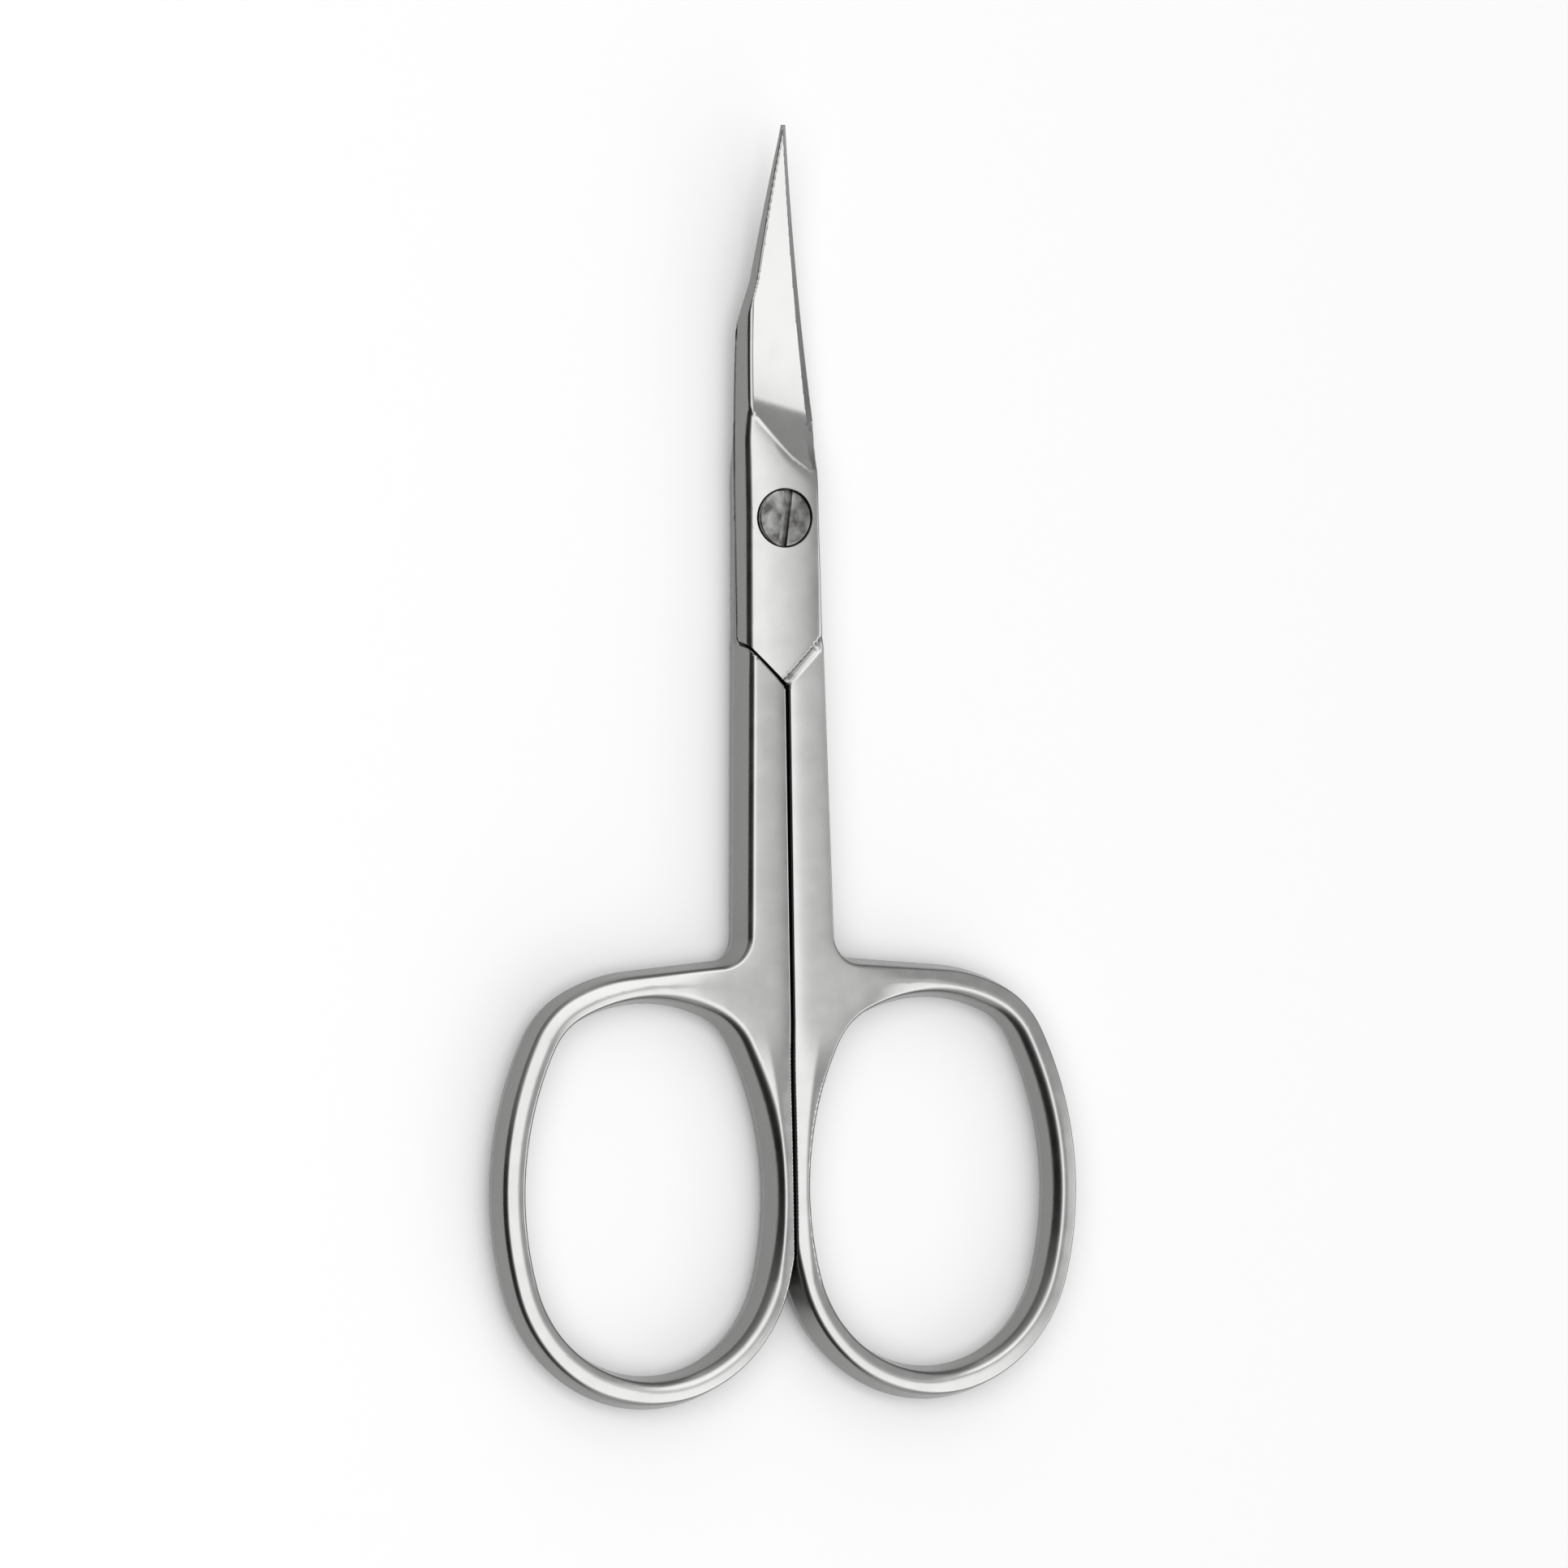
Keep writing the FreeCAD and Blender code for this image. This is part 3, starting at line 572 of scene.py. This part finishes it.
def netOfPoints(outline, hole, blade, radii):
    # closed loops for the outlines, points beside them that follow the edges, and a field between
    beside = []
    wide = forging["plateHalfWidth"]
    everything = sum(outline.values(), []) + hole
    groups = list(outline.items()) + [("hole", hole)]
    edgePoints = []
    for name, pieces in groups:
        levels = net["wallLevels"] if name in drafted or name == "hole" else net["edgeLevels"]
        levels = net["bevelLevels"] if name == "edge" else levels
        others = sum((other for key, other in groups if key != name), [])
        for piece in pieces:
            points, left = walk(piece, net["alongStep"])
            edgePoints.append((name, points))
            for level in levels:
                if name == "edge":
                    level = (level * bevelWidth(blade, points[:, 1]))[:, None]
                moved = points + left * level
                level = np.ravel(level)
                clear = np.abs(distance(others, moved[:, 0], moved[:, 1])) > level * net["clearShare"]
                own = np.abs(distance(pieces, moved[:, 0], moved[:, 1])) > level * net["ownShare"]
                beside.append(moved[clear & own])
    outer = np.concatenate([points for name, points in edgePoints if name != "hole"])
    inner = np.concatenate([points for name, points in edgePoints if name == "hole"])
    # the ends of the forged sides, where they run out in a cut
    wallsRight, wallsLeft = outerWalls(outline, blade)
    rightEnd = line((wide, blade["edgeReach"]), (wide, blade["edgeReach"] + net["endReach"]))
    for piece in (rightEnd, wallsRight[0], wallsLeft[0]):
        points, left = walk(piece, net["alongStep"])
        beside += [points + left * level for level in net["wallLevels"][2:9]]
    beside += [gridOfPoints(*place, place[-1]) for place in net["closeFields"]]
    rims = [ringOfPoints(radius, bore["corners"]) for radius in radii]
    beside += [ringOfPoints(radii[-1] * grow, bore["corners"]) for grow in net["boreRowShares"]]
    # a coarse field everywhere, a fine one at the run-out, and rows along the shoulder
    low, high = outer.min(0), outer.max(0)
    coarse, close = net["fieldStep"], net["fineStep"]
    field = gridOfPoints(low[0], high[0], low[1], high[1], coarse, coarse) + coarse * net["fieldShiftShare"]
    runoutLow, runoutHigh = net["runoutField"]
    fine = gridOfPoints(-wide, wide, runoutLow, runoutHigh, close, close)
    step = gridOfPoints(0, wide + net["stepOverrun"], *net["stepField"], close, close / net["stepRows"])
    step = np.stack([step[:, 0], step[:, 0] - forging["veeReach"] + step[:, 1] * math.sqrt(2)], 1)
    x, y = field[:, 0], field[:, 1]
    inFine = (y > runoutLow - net["runoutMargin"]) & (y < runoutHigh + net["runoutMargin"])
    inFine = inFine & (np.abs(x) < wide)
    nearStep = np.abs(y - x + forging["veeReach"] - net["stepMiddle"]) < net["stepAway"]
    field = np.concatenate([field[~inFine & ~nearStep], fine, step])
    x, y = field[:, 0], field[:, 1]
    drawn = sum((outline[name] for name in drafted), []) + hole
    wallsAway = np.abs(distance(drawn, x, y)) > net["wallsAway"]
    groundAway = np.abs(distance(everything, x, y)) > net["groundAway"]
    middle, reach = net["boreAwayShares"]
    pivotAway = np.abs(np.hypot(x, y) - radii[-1] * middle) > radii[-1] * reach
    field = field[wallsAway & groundAway & pivotAway]
    return outer, inner, rims, np.concatenate(beside), field


def halfMesh(name, blade, front):
    # outer face, inner face and back are layers over one net of points, joined by walls along the outlines
    outline, hole = outlinePieces(blade), holePieces()
    f = forging
    radii = [bore["threadRadius"]]
    if front:
        radii = [bore["neckRadius"], bore["seatRadius"] + bore["seatChamfer"]]
    outer, inner, rims, beside, field = netOfPoints(outline, hole, blade, radii)
    points, edges = [], []
    for loop in [outer, inner] + rims:
        base = len(points)
        points += [Vector(p) for p in loop]
        edges += [(base + i, base + (i + 1) % len(loop)) for i in range(len(loop))]
    # the shoulder under the plate runs across the shank
    sides = np.array([f["shankGap"] - net["shoulderOverrun"], net["shoulderReach"]])
    shoulderEnds = np.stack([sides, sides - f["veeReach"]], 1)
    shares = np.linspace(0, 1, net["shoulderPoints"])[:, None]
    across = shoulderEnds[0] + shares * (shoulderEnds[1] - shoulderEnds[0])
    spots, left = walk(outline["edge"][0], net["alongStep"])
    bevelLine = (spots + left * bevelWidth(blade, spots[:, 1])[:, None])[2:-3]
    for chain in (across, bevelLine):
        base = len(points)
        points += [Vector(p) for p in chain]
        edges += [(base + i, base + i + 1) for i in range(len(chain) - 1)]
    free = np.concatenate([beside, field])
    free = free[insideLoop(free, outer) & ~insideLoop(free, inner)]
    points += [Vector(p) for p in free]
    corners, _, triangles, _, _, _ = delaunay_2d_cdt(points, edges, [], 0, net["mergeReach"], False)
    xy = np.array([tuple(c) for c in corners])
    tri = np.array([t for t in triangles if len(t) == 3])
    middle = xy[tri].mean(1)
    keep = insideLoop(middle, outer) & ~insideLoop(middle, inner)
    tri, middle = tri[keep], middle[keep]
    fromPivot = np.hypot(middle[:, 0], middle[:, 1])
    onPlate = middle[:, 1] - middle[:, 0] + f["veeReach"] > 0

    def top(x, y):
        return faceHeight(outline, hole, blade, front, x, y)

    def lap(x, y):
        return lapHeight(blade, x, y)

    def back(x, y):
        return backHeight(outline, hole, blade, front, x, y)

    layers = [
        (tri[fromPivot > radii[-1]], top, 1),
        (tri[onPlate & (fromPivot > radii[0])], lap, -1),
        (tri[~onPlate], back, -1),
    ]
    vertices, faces, normals, satinAndShade, index = [], [], [], [], []
    for faceSet, height, up in layers:
        used = np.unique(faceSet)
        place = {}
        x, y = xy[used, 0], xy[used, 1]
        z = height(x, y)
        h = net["slopeStep"]
        slopeX = (height(x + h, y) - height(x - h, y)) / (2 * h)
        slopeY = (height(x, y + h) - height(x, y - h)) / (2 * h)
        n = np.stack([-slopeX, -slopeY, np.ones_like(x)], 1) * up
        n /= np.linalg.norm(n, axis=1)[:, None]
        # satin roughness and painted shade for each point
        satinAndShade += list(satinAndShadeShare(outline, hole, blade, x, y, n[:, 2]))
        for i, corner in enumerate(used):
            place[corner] = len(vertices)
            vertices.append((x[i], y[i], z[i]))
            normals.append(n[i])
        for t in faceSet:
            order = t if up > 0 else t[::-1]
            faces.append([place[c] for c in order])
        index.append(place)
    smoothCount = len(faces)
    faces += sideWalls(layers, index, vertices)
    faces += boreWalls(xy, index, vertices, radii, top, front)
    coords = np.array(vertices)
    coords[:, 2] += f["lapLevel"]
    normals = np.array(normals)
    if not front:
        coords *= (-1, 1, -1)
        coords[:, 2] += 2 * f["lapLevel"]
        normals *= (-1, 1, -1)
    mesh = bpy.data.meshes.new(name)
    mesh.from_pydata((coords * mm).tolist(), [], faces)
    piece = bpy.data.objects.new(name, mesh)
    bpy.context.scene.collection.objects.link(piece)
    bpy.context.view_layer.objects.active = piece
    piece.select_set(True)
    bpy.ops.object.shade_smooth_by_angle(angle=math.radians(net["smoothAngle"]))
    shading = np.zeros((len(mesh.loops), 3), np.float32)
    mesh.corner_normals.foreach_get("vector", shading.ravel())
    owner = np.zeros(len(mesh.loops), np.int32)
    mesh.loops.foreach_get("vertex_index", owner)
    starts = np.array([polygon.loop_start for polygon in mesh.polygons])
    smoothLoops = starts[smoothCount] if smoothCount < len(starts) else len(owner)
    shading[:smoothLoops] = normals[owner[:smoothLoops]]
    mesh.normals_split_custom_set(shading.tolist())
    # per corner, the share of satin roughness and of painted shade on the sides
    finish = np.ones(len(mesh.loops), np.float32)
    finish[:smoothLoops] = np.array(satinAndShade)[owner[:smoothLoops]]
    mesh.attributes.new("satinAndShade", "FLOAT", "CORNER").data.foreach_set("value", finish)
    piece.select_set(False)
    print(name, len(mesh.vertices), "vertices", len(mesh.polygons), "faces")
    return piece


def openEdges(faceSet):
    # edges of a layer that only one triangle uses, the way that triangle runs
    ends = np.concatenate([faceSet[:, [0, 1]], faceSet[:, [1, 2]], faceSet[:, [2, 0]]])
    key = np.sort(ends, 1)
    _, first, count = np.unique(key, axis=0, return_index=True, return_counts=True)
    return ends[first[count == 1]]


def sideWalls(layers, index, vertices):
    # joins the outer face to the inner and back faces along every outline,
    # and the inner face to the back one at the shoulder
    walls = []
    belows = {}
    for layer in (1, 2):
        for a, b in openEdges(layers[layer][0]):
            belows.setdefault(tuple(sorted((a, b))), []).append(layer)
    for a, b in openEdges(layers[0][0]):
        for layer in belows.get(tuple(sorted((a, b))), []):
            corners = [index[0][b], index[0][a], index[layer][a], index[layer][b]]
            heights = [vertices[corner][2] for corner in corners]
            if max(abs(heights[0] - heights[3]), abs(heights[1] - heights[2])) > net["thinWall"]:
                walls.append(corners)
            else:
                vertices[corners[2]] = vertices[corners[1]]
                vertices[corners[3]] = vertices[corners[0]]
    for a, b in openEdges(layers[1][0]):
        if belows[tuple(sorted((a, b)))] == [1, 2]:
            walls.append([index[1][a], index[1][b], index[2][b], index[2][a]])
    return walls


def boreWalls(xy, index, vertices, radii, top, front):
    # a turned bore, stepped where the screw head sits; the seat's chamfer follows the face
    count, seat = bore["corners"], plate["level"] - bore["seatDepth"]
    steps = []
    if front:
        steps = [(bore["seatRadius"], True), (bore["seatRadius"], False), (bore["neckRadius"], False)]
    tops = [nearest(xy, p, index[0]) for p in ringOfPoints(radii[-1], count)]
    lows = [nearest(xy, p, index[1]) for p in ringOfPoints(radii[0], count)]
    loops = [tops]
    for radius, atFace in steps:
        loops.append(list(range(len(vertices), len(vertices) + count)))
        for p in ringOfPoints(radius, count):
            height = float(top(p[:1], p[1:])[0]) - bore["seatChamfer"] if atFace else seat
            vertices.append((p[0], p[1], height))
    loops.append(lows)
    walls = []
    for upper, lower in zip(loops, loops[1:]):
        for i in range(count):
            j = (i + 1) % count
            walls.append([upper[i], upper[j], lower[j], lower[i]])
    return walls


def nearest(xy, point, place):
    keys = np.fromiter(place.keys(), int)
    return place[keys[np.argmin(np.hypot(xy[keys, 0] - point[0], xy[keys, 1] - point[1]))]]


frontHalf = halfMesh("frontHalf", frontBlade, True)
rearHalf = halfMesh("rearHalf", rearBlade, False)
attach(frontHalf, "front")
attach(rearHalf, "rear")
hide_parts("front_half")
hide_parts("rear_half")


# the screw is turned from one bar: head, neck as the hinge pin, thread
screw = {
    "headRadius": 2.02,
    "headTop": 3.76,
    "headSeat": 2.72,
    "rimBevel": 0.2,
    "neckRadius": 1.25,
    "neckEnd": 1.9,
    "threadRadius": 1.0,
    "threadEnd": 0.3,
    "threadBevel": 0.25,
    "slotWidth": 0.64,
    "slotDepth": 0.42,
    "slotTurn": -8.0,
    "slotOverrun": 3.0,  # length of the cutter in head radii
    "corners": 128,
    "rimSegments": 5,
    "softEdge": 0.06,
    "softSegments": 2,
    "softAngle": 50.0,
    "smoothAngle": 32.0,
    "endFacing": 0.9,
}


def extrudeDown(radius, target, levels):
    # steps the selected face to a new radius, then pulls it down
    bpy.ops.mesh.inset(thickness=(levels["radius"] - radius) * mm)
    move = {"value": (0, 0, (target - levels["height"]) * mm)}
    bpy.ops.mesh.extrude_region_move(TRANSFORM_OT_translate=move)
    levels["radius"] = radius
    levels["height"] = target


def turnScrew():
    s = screw
    middle = (s["headTop"] + s["headSeat"]) / 2
    bpy.ops.mesh.primitive_cylinder_add(
        vertices=s["corners"],
        radius=s["headRadius"] * mm,
        depth=(s["headTop"] - s["headSeat"]) * mm,
        location=(0, 0, middle * mm),
    )
    head = bpy.context.object
    head.name = "pivotScrew"
    bpy.ops.object.transform_apply(location=True, rotation=True, scale=True)
    bpy.ops.object.mode_set(mode="EDIT")
    bpy.ops.mesh.select_mode(type="FACE")
    bpy.ops.mesh.select_all(action="DESELECT")
    bpy.ops.object.mode_set(mode="OBJECT")
    for face in head.data.polygons:
        face.select = face.normal.z > s["endFacing"]
    bpy.ops.object.mode_set(mode="EDIT")
    bpy.ops.mesh.bevel(offset=s["rimBevel"] * mm, segments=s["rimSegments"], affect="EDGES")
    bpy.ops.mesh.select_all(action="DESELECT")
    bpy.ops.object.mode_set(mode="OBJECT")
    for face in head.data.polygons:
        face.select = face.normal.z < -s["endFacing"]
    bpy.ops.object.mode_set(mode="EDIT")
    levels = {"radius": s["headRadius"], "height": s["headSeat"]}
    extrudeDown(s["neckRadius"], s["neckEnd"], levels)
    extrudeDown(s["threadRadius"], s["threadEnd"] + s["threadBevel"], levels)
    bpy.ops.mesh.extrude_region_move(TRANSFORM_OT_translate={"value": (0, 0, -s["threadBevel"] * mm)})
    taper = 1 - s["threadBevel"] / s["threadRadius"]
    bpy.ops.transform.resize(value=(taper, taper, 1))
    bpy.ops.object.mode_set(mode="OBJECT")
    bpy.ops.mesh.primitive_cube_add(size=1)
    cutter = bpy.context.object
    slotLength = s["slotOverrun"] * s["headRadius"]
    cutter.scale = (s["slotWidth"] * mm, slotLength * mm, 2 * s["slotDepth"] * mm)
    cutter.location = (0, 0, s["headTop"] * mm)
    cutter.rotation_euler = (0, 0, math.radians(s["slotTurn"]))
    bpy.ops.object.select_all(action="DESELECT")
    bpy.context.view_layer.objects.active = head
    head.select_set(True)
    slot = head.modifiers.new("slot", "BOOLEAN")
    slot.operation = "DIFFERENCE"
    slot.object = cutter
    bpy.ops.object.modifier_apply(modifier="slot")
    bpy.data.objects.remove(cutter)
    bevel = head.modifiers.new("softEdges", "BEVEL")
    bevel.width = s["softEdge"] * mm
    bevel.segments = s["softSegments"]
    bevel.limit_method = "ANGLE"
    bevel.angle_limit = math.radians(s["softAngle"])
    bpy.ops.object.modifier_apply(modifier="softEdges")
    bpy.ops.object.shade_smooth_by_angle(angle=math.radians(s["smoothAngle"]))
    head.select_set(False)
    print("pivotScrew", len(head.data.polygons), "faces")
    return head


pivotScrew = turnScrew()
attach(pivotScrew, "screw")
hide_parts("pivot_screw")


def linear(code):
    # sRGB hex to linear red, green, blue, alpha
    parts = [int(code[i : i + 2], 16) / 255 for i in (1, 3, 5)]
    return tuple(c / 12.92 if c <= 0.04045 else ((c + 0.055) / 1.055) ** 2.4 for c in parts) + (1.0,)


def addNode(tree, kind, links=None, **settings):
    node = tree.nodes.new(kind)
    for key, value in settings.items():
        if key.startswith("in_"):
            name = key[3:]
            node.inputs[int(name) if name.isdigit() else name].default_value = value
        else:
            setattr(node, key, value)
    for socket, source in (links or {}).items():
        tree.links.new(source, node.inputs[socket])
    return node


def newMaterial(name):
    material = bpy.data.materials.new(name)
    material.use_nodes = True
    return material, material.node_tree, material.node_tree.nodes["Principled BSDF"]


# forged stainless steel: bright faces, faintly cloudy from hand polishing and finely scratched all ways,
# and satin sides, rougher where the polishing wheel hardly touched them and painted darker grey as shade
halfSteel = {
    "tones": ("#D2D2D1", "#E6E6E5"),
    "cloudSize": 1.6,
    "cloudDetail": 3.0,
    "cloudRange": (0.3, 0.7),
    "roughness": (0.11, 0.17),
    "scratchSize": 0.12,  # coarser than real scratches, so that they show
    "scratchDetail": 2.0,
    "scratchDepth": 0.02,
    "scratchStrength": 0.05,
    # painted shade: the grey given to the sides, the cutting bevel and the groove, for the shade they mirror
    "paintedShadeTone": "#8C8C8B",
    "satinRoughness": 0.14,  # added to that of the faces
}


def polishedStainlessSteel():
    h = halfSteel
    material, tree, shader = newMaterial("polished stainless steel")
    place = {"Vector": addNode(tree, "ShaderNodeTexCoord").outputs["Object"]}
    cloudScale, scratchScale = 1 / (h["cloudSize"] * mm), 1 / (h["scratchSize"] * mm)
    cloud = addNode(tree, "ShaderNodeTexNoise", place, in_Scale=cloudScale, in_Detail=h["cloudDetail"])
    grain = addNode(tree, "ShaderNodeTexNoise", place, in_Scale=scratchScale, in_Detail=h["scratchDetail"])
    cloudy = cloud.outputs["Fac"]
    low, high = h["cloudRange"]
    smooth, dull = h["roughness"]
    rough = addNode(
        tree, "ShaderNodeMapRange", {"Value": cloudy}, in_1=low, in_2=high, in_3=smooth, in_4=dull
    )
    scratches = addNode(tree, "ShaderNodeBump", {"Height": grain.outputs["Fac"]})
    scratches.inputs["Strength"].default_value = h["scratchStrength"]
    scratches.inputs["Distance"].default_value = h["scratchDepth"] * mm
    # the share read here is satin roughness and painted shade together
    sides = addNode(tree, "ShaderNodeAttribute", attribute_name="satinAndShade").outputs["Fac"]
    duller = addNode(tree, "ShaderNodeMath", {0: sides, 2: rough.outputs[0]}, operation="MULTIPLY_ADD")
    duller.inputs[1].default_value = h["satinRoughness"]
    tree.links.new(duller.outputs[0], shader.inputs["Roughness"])
    tree.links.new(scratches.outputs[0], shader.inputs["Normal"])
    tone = addNode(tree, "ShaderNodeMix", {"Factor": cloudy}, data_type="RGBA")
    tone.inputs["A"].default_value = linear(h["tones"][0])
    tone.inputs["B"].default_value = linear(h["tones"][1])
    # painted shade: the base colour turns to the darker grey where that share is high
    toned = {"Factor": sides, "A": tone.outputs["Result"]}
    finish = addNode(tree, "ShaderNodeMix", toned, data_type="RGBA")
    finish.inputs["B"].default_value = linear(h["paintedShadeTone"])
    tree.links.new(finish.outputs["Result"], shader.inputs["Base Color"])
    shader.inputs["Metallic"].default_value = 1.0
    return material


# turned steel, unpolished: darker than the halves and stained in patches
screwSteel = {
    "tones": ("#6A6966", "#BCBCBA"),
    "stainSize": 0.9,
    "stainDetail": 5.0,
    "stainRange": (0.35, 0.68),
    "roughness": 0.3,
}


def turnedScrewSteel():
    s = screwSteel
    material, tree, shader = newMaterial("turned screw steel")
    place = {"Vector": addNode(tree, "ShaderNodeTexCoord").outputs["Object"]}
    stainScale = 1 / (s["stainSize"] * mm)
    stain = addNode(tree, "ShaderNodeTexNoise", place, in_Scale=stainScale, in_Detail=s["stainDetail"])
    low, high = s["stainRange"]
    patch = addNode(tree, "ShaderNodeMapRange", {"Value": stain.outputs["Fac"]}, in_1=low, in_2=high)
    tone = addNode(tree, "ShaderNodeMix", {"Factor": patch.outputs[0]}, data_type="RGBA")
    tone.inputs["A"].default_value = linear(s["tones"][0])
    tone.inputs["B"].default_value = linear(s["tones"][1])
    tree.links.new(tone.outputs["Result"], shader.inputs["Base Color"])
    shader.inputs["Metallic"].default_value = 1.0
    shader.inputs["Roughness"].default_value = s["roughness"]
    return material


steel = polishedStainlessSteel()
frontHalf.data.materials.append(steel)
rearHalf.data.materials.append(steel)
pivotScrew.data.materials.append(turnedScrewSteel())
print("materials", [material.name for material in bpy.data.materials if material.users])

# the camera looks from the left of the face; pixels are those of the square frame
view = {
    "turn": 26.0,
    "roll": 0.9,
    "distance": 900.0,
    "frame": 1932,
    "pixel": 0.05707,
    "screwPixel": (968.5, 638.0),
    "sensor": 36.0,
    "clipEnd": 10.0,
}


def setCamera():
    turn, roll = math.radians(view["turn"]), math.radians(view["roll"])
    back = Vector((-math.sin(turn), 0, math.cos(turn)))
    across = Vector((math.cos(turn), 0, math.sin(turn)))
    upright = Vector((0, 1, 0))
    right = across * math.cos(roll) - upright * math.sin(roll)
    up = upright * math.cos(roll) + across * math.sin(roll)
    middle = view["frame"] / 2
    screwTop = Vector((0, 0, forging["lapLevel"] + plate["level"]))
    aside, below = [(middle - pixel) * view["pixel"] for pixel in view["screwPixel"]]
    aim = screwTop + right * aside - up * below
    bpy.ops.object.camera_add()
    camera = bpy.context.object
    camera.name = "camera"
    place = Matrix((right, up, back)).transposed().to_4x4()
    place.translation = (aim + back * view["distance"]) * mm
    camera.matrix_world = place
    camera.data.sensor_width = view["sensor"]
    camera.data.lens = view["sensor"] * view["distance"] / (view["frame"] * view["pixel"])
    camera.data.clip_end = view["clipEnd"]
    bpy.context.scene.camera = camera
    print("camera", round(camera.data.lens, 1), "mm lens")


setCamera()

# soft panels that the steel mirrors: brightness by the lean of a direction, in degrees from straight up,
# over the whole length, beside the shanks, beyond the tips and at the hand
studio = {
    "overhead": (
        ((-180, 0.2), (-95, 0.02), (-34, 0.02), (-16, 0.5), (-5, 1.12), (6, 1.15), (16, 0.9))
        + ((26, 0.66), (36, 0.49), (46, 0.36), (70, 0.3), (95, 0.25), (180, 0.2))
    ),
    "side": ((0, 0), (50, 0), (53, 1.0), (64, 1.0), (67, 0), (180, 0)),
    "tips": ((-180, 0.1), (-60, 0.4), (-20, 0.75), (0, 1.2), (24, 1.3), (29, 0.34), (180, 0.25)),
    "hand": ((-180, 0.1), (-50, 0.04), (-25, 0.2), (0, 1.15), (60, 1.2), (76, 0.5), (110, 0.25)),
    "sideEnds": (0.09, 0.02),
    "tipsStart": (0.16, 0.3),
    "handStarts": (-0.16, -0.36),
}


def band(tree, share, stops):
    # a ramp over the lean of a direction, in degrees from straight up towards the right
    node = addNode(tree, "ShaderNodeValToRGB", {"Fac": share})
    ramp = node.color_ramp
    while len(ramp.elements) > 1:
        ramp.elements.remove(ramp.elements[-1])
    for number, (angle, value) in enumerate(stops):
        place = angle / 360 + 0.5
        stop = ramp.elements[0] if number == 0 else ramp.elements.new(place)
        stop.position = place
        stop.color = (value, value, value, 1)
    return node.outputs["Color"]


def setWorld():
    world = bpy.context.scene.world or bpy.data.worlds.new("studio")
    bpy.context.scene.world = world
    world.use_nodes = True
    tree = world.node_tree
    tree.nodes.clear()
    way = addNode(tree, "ShaderNodeTexCoord").outputs["Generated"]
    parts = addNode(tree, "ShaderNodeSeparateXYZ", {0: way}).outputs
    lean = addNode(tree, "ShaderNodeMath", {0: parts["X"], 1: parts["Z"]}, operation="ARCTAN2").outputs[0]
    share = addNode(tree, "ShaderNodeMapRange", {"Value": lean}, in_1=-math.pi, in_2=math.pi).outputs[0]
    whole = band(tree, share, studio["overhead"])
    layers = (("side", "sideEnds", "ADD"), ("tips", "tipsStart", "MIX"), ("hand", "handStarts", "MIX"))
    for panel, reach, blend in layers:
        first, last = studio[reach]
        within = addNode(tree, "ShaderNodeMapRange", {"Value": parts["Y"]}, in_1=first, in_2=last).outputs[0]
        links = {"Color1": whole, "Color2": band(tree, share, studio[panel]), "Fac": within}
        whole = addNode(tree, "ShaderNodeMixRGB", links, blend_type=blend).outputs[0]
    glow = addNode(tree, "ShaderNodeBackground", {"Color": whole})
    addNode(tree, "ShaderNodeOutputWorld", {"Surface": glow.outputs[0]})
    print("world", len(tree.nodes), "nodes")


setWorld()

# the paper lies just under the scissors; both sizes in metres
sheet = {"size": 4.0, "drop": 0.00005, "tone": "#F3F3F3"}
# in metres and watts; the lamp hangs in the camera's direction
softLamp = {"away": 1.2, "width": 1.2, "power": 8.6}


def layFloor():
    # white paper, matt and the same for the camera and for the steel
    bpy.ops.mesh.primitive_plane_add(size=sheet["size"], location=(0, 0, -sheet["drop"]))
    floor = bpy.context.object
    floor.name = "floor"
    material, tree, shader = newMaterial("white paper")
    tree.nodes.remove(shader)
    paper = addNode(tree, "ShaderNodeBsdfDiffuse", in_Color=linear(sheet["tone"]))
    tree.links.new(paper.outputs[0], tree.nodes["Material Output"].inputs["Surface"])
    floor.data.materials.append(material)
    print("floor", sheet["size"], "m wide")


def hangLamp():
    # a wide soft lamp lights the paper, so that the shadow lies evenly round the scissors
    turn = math.radians(view["turn"])
    place = Vector((-math.sin(turn), 0, math.cos(turn))) * softLamp["away"]
    bpy.ops.object.light_add(type="AREA", location=place, rotation=(0, -turn, 0))
    lamp = bpy.context.object
    lamp.name = "lamp"
    lamp.data.shape = "DISK"
    lamp.data.size = softLamp["width"]
    lamp.data.energy = softLamp["power"]
    lamp.visible_camera = False
    lamp.visible_glossy = False  # the steel mirrors the panels instead
    print("lamp", softLamp["power"], "W")


hangLamp()
layFloor()
bpy.context.scene.view_settings.view_transform = "Standard"
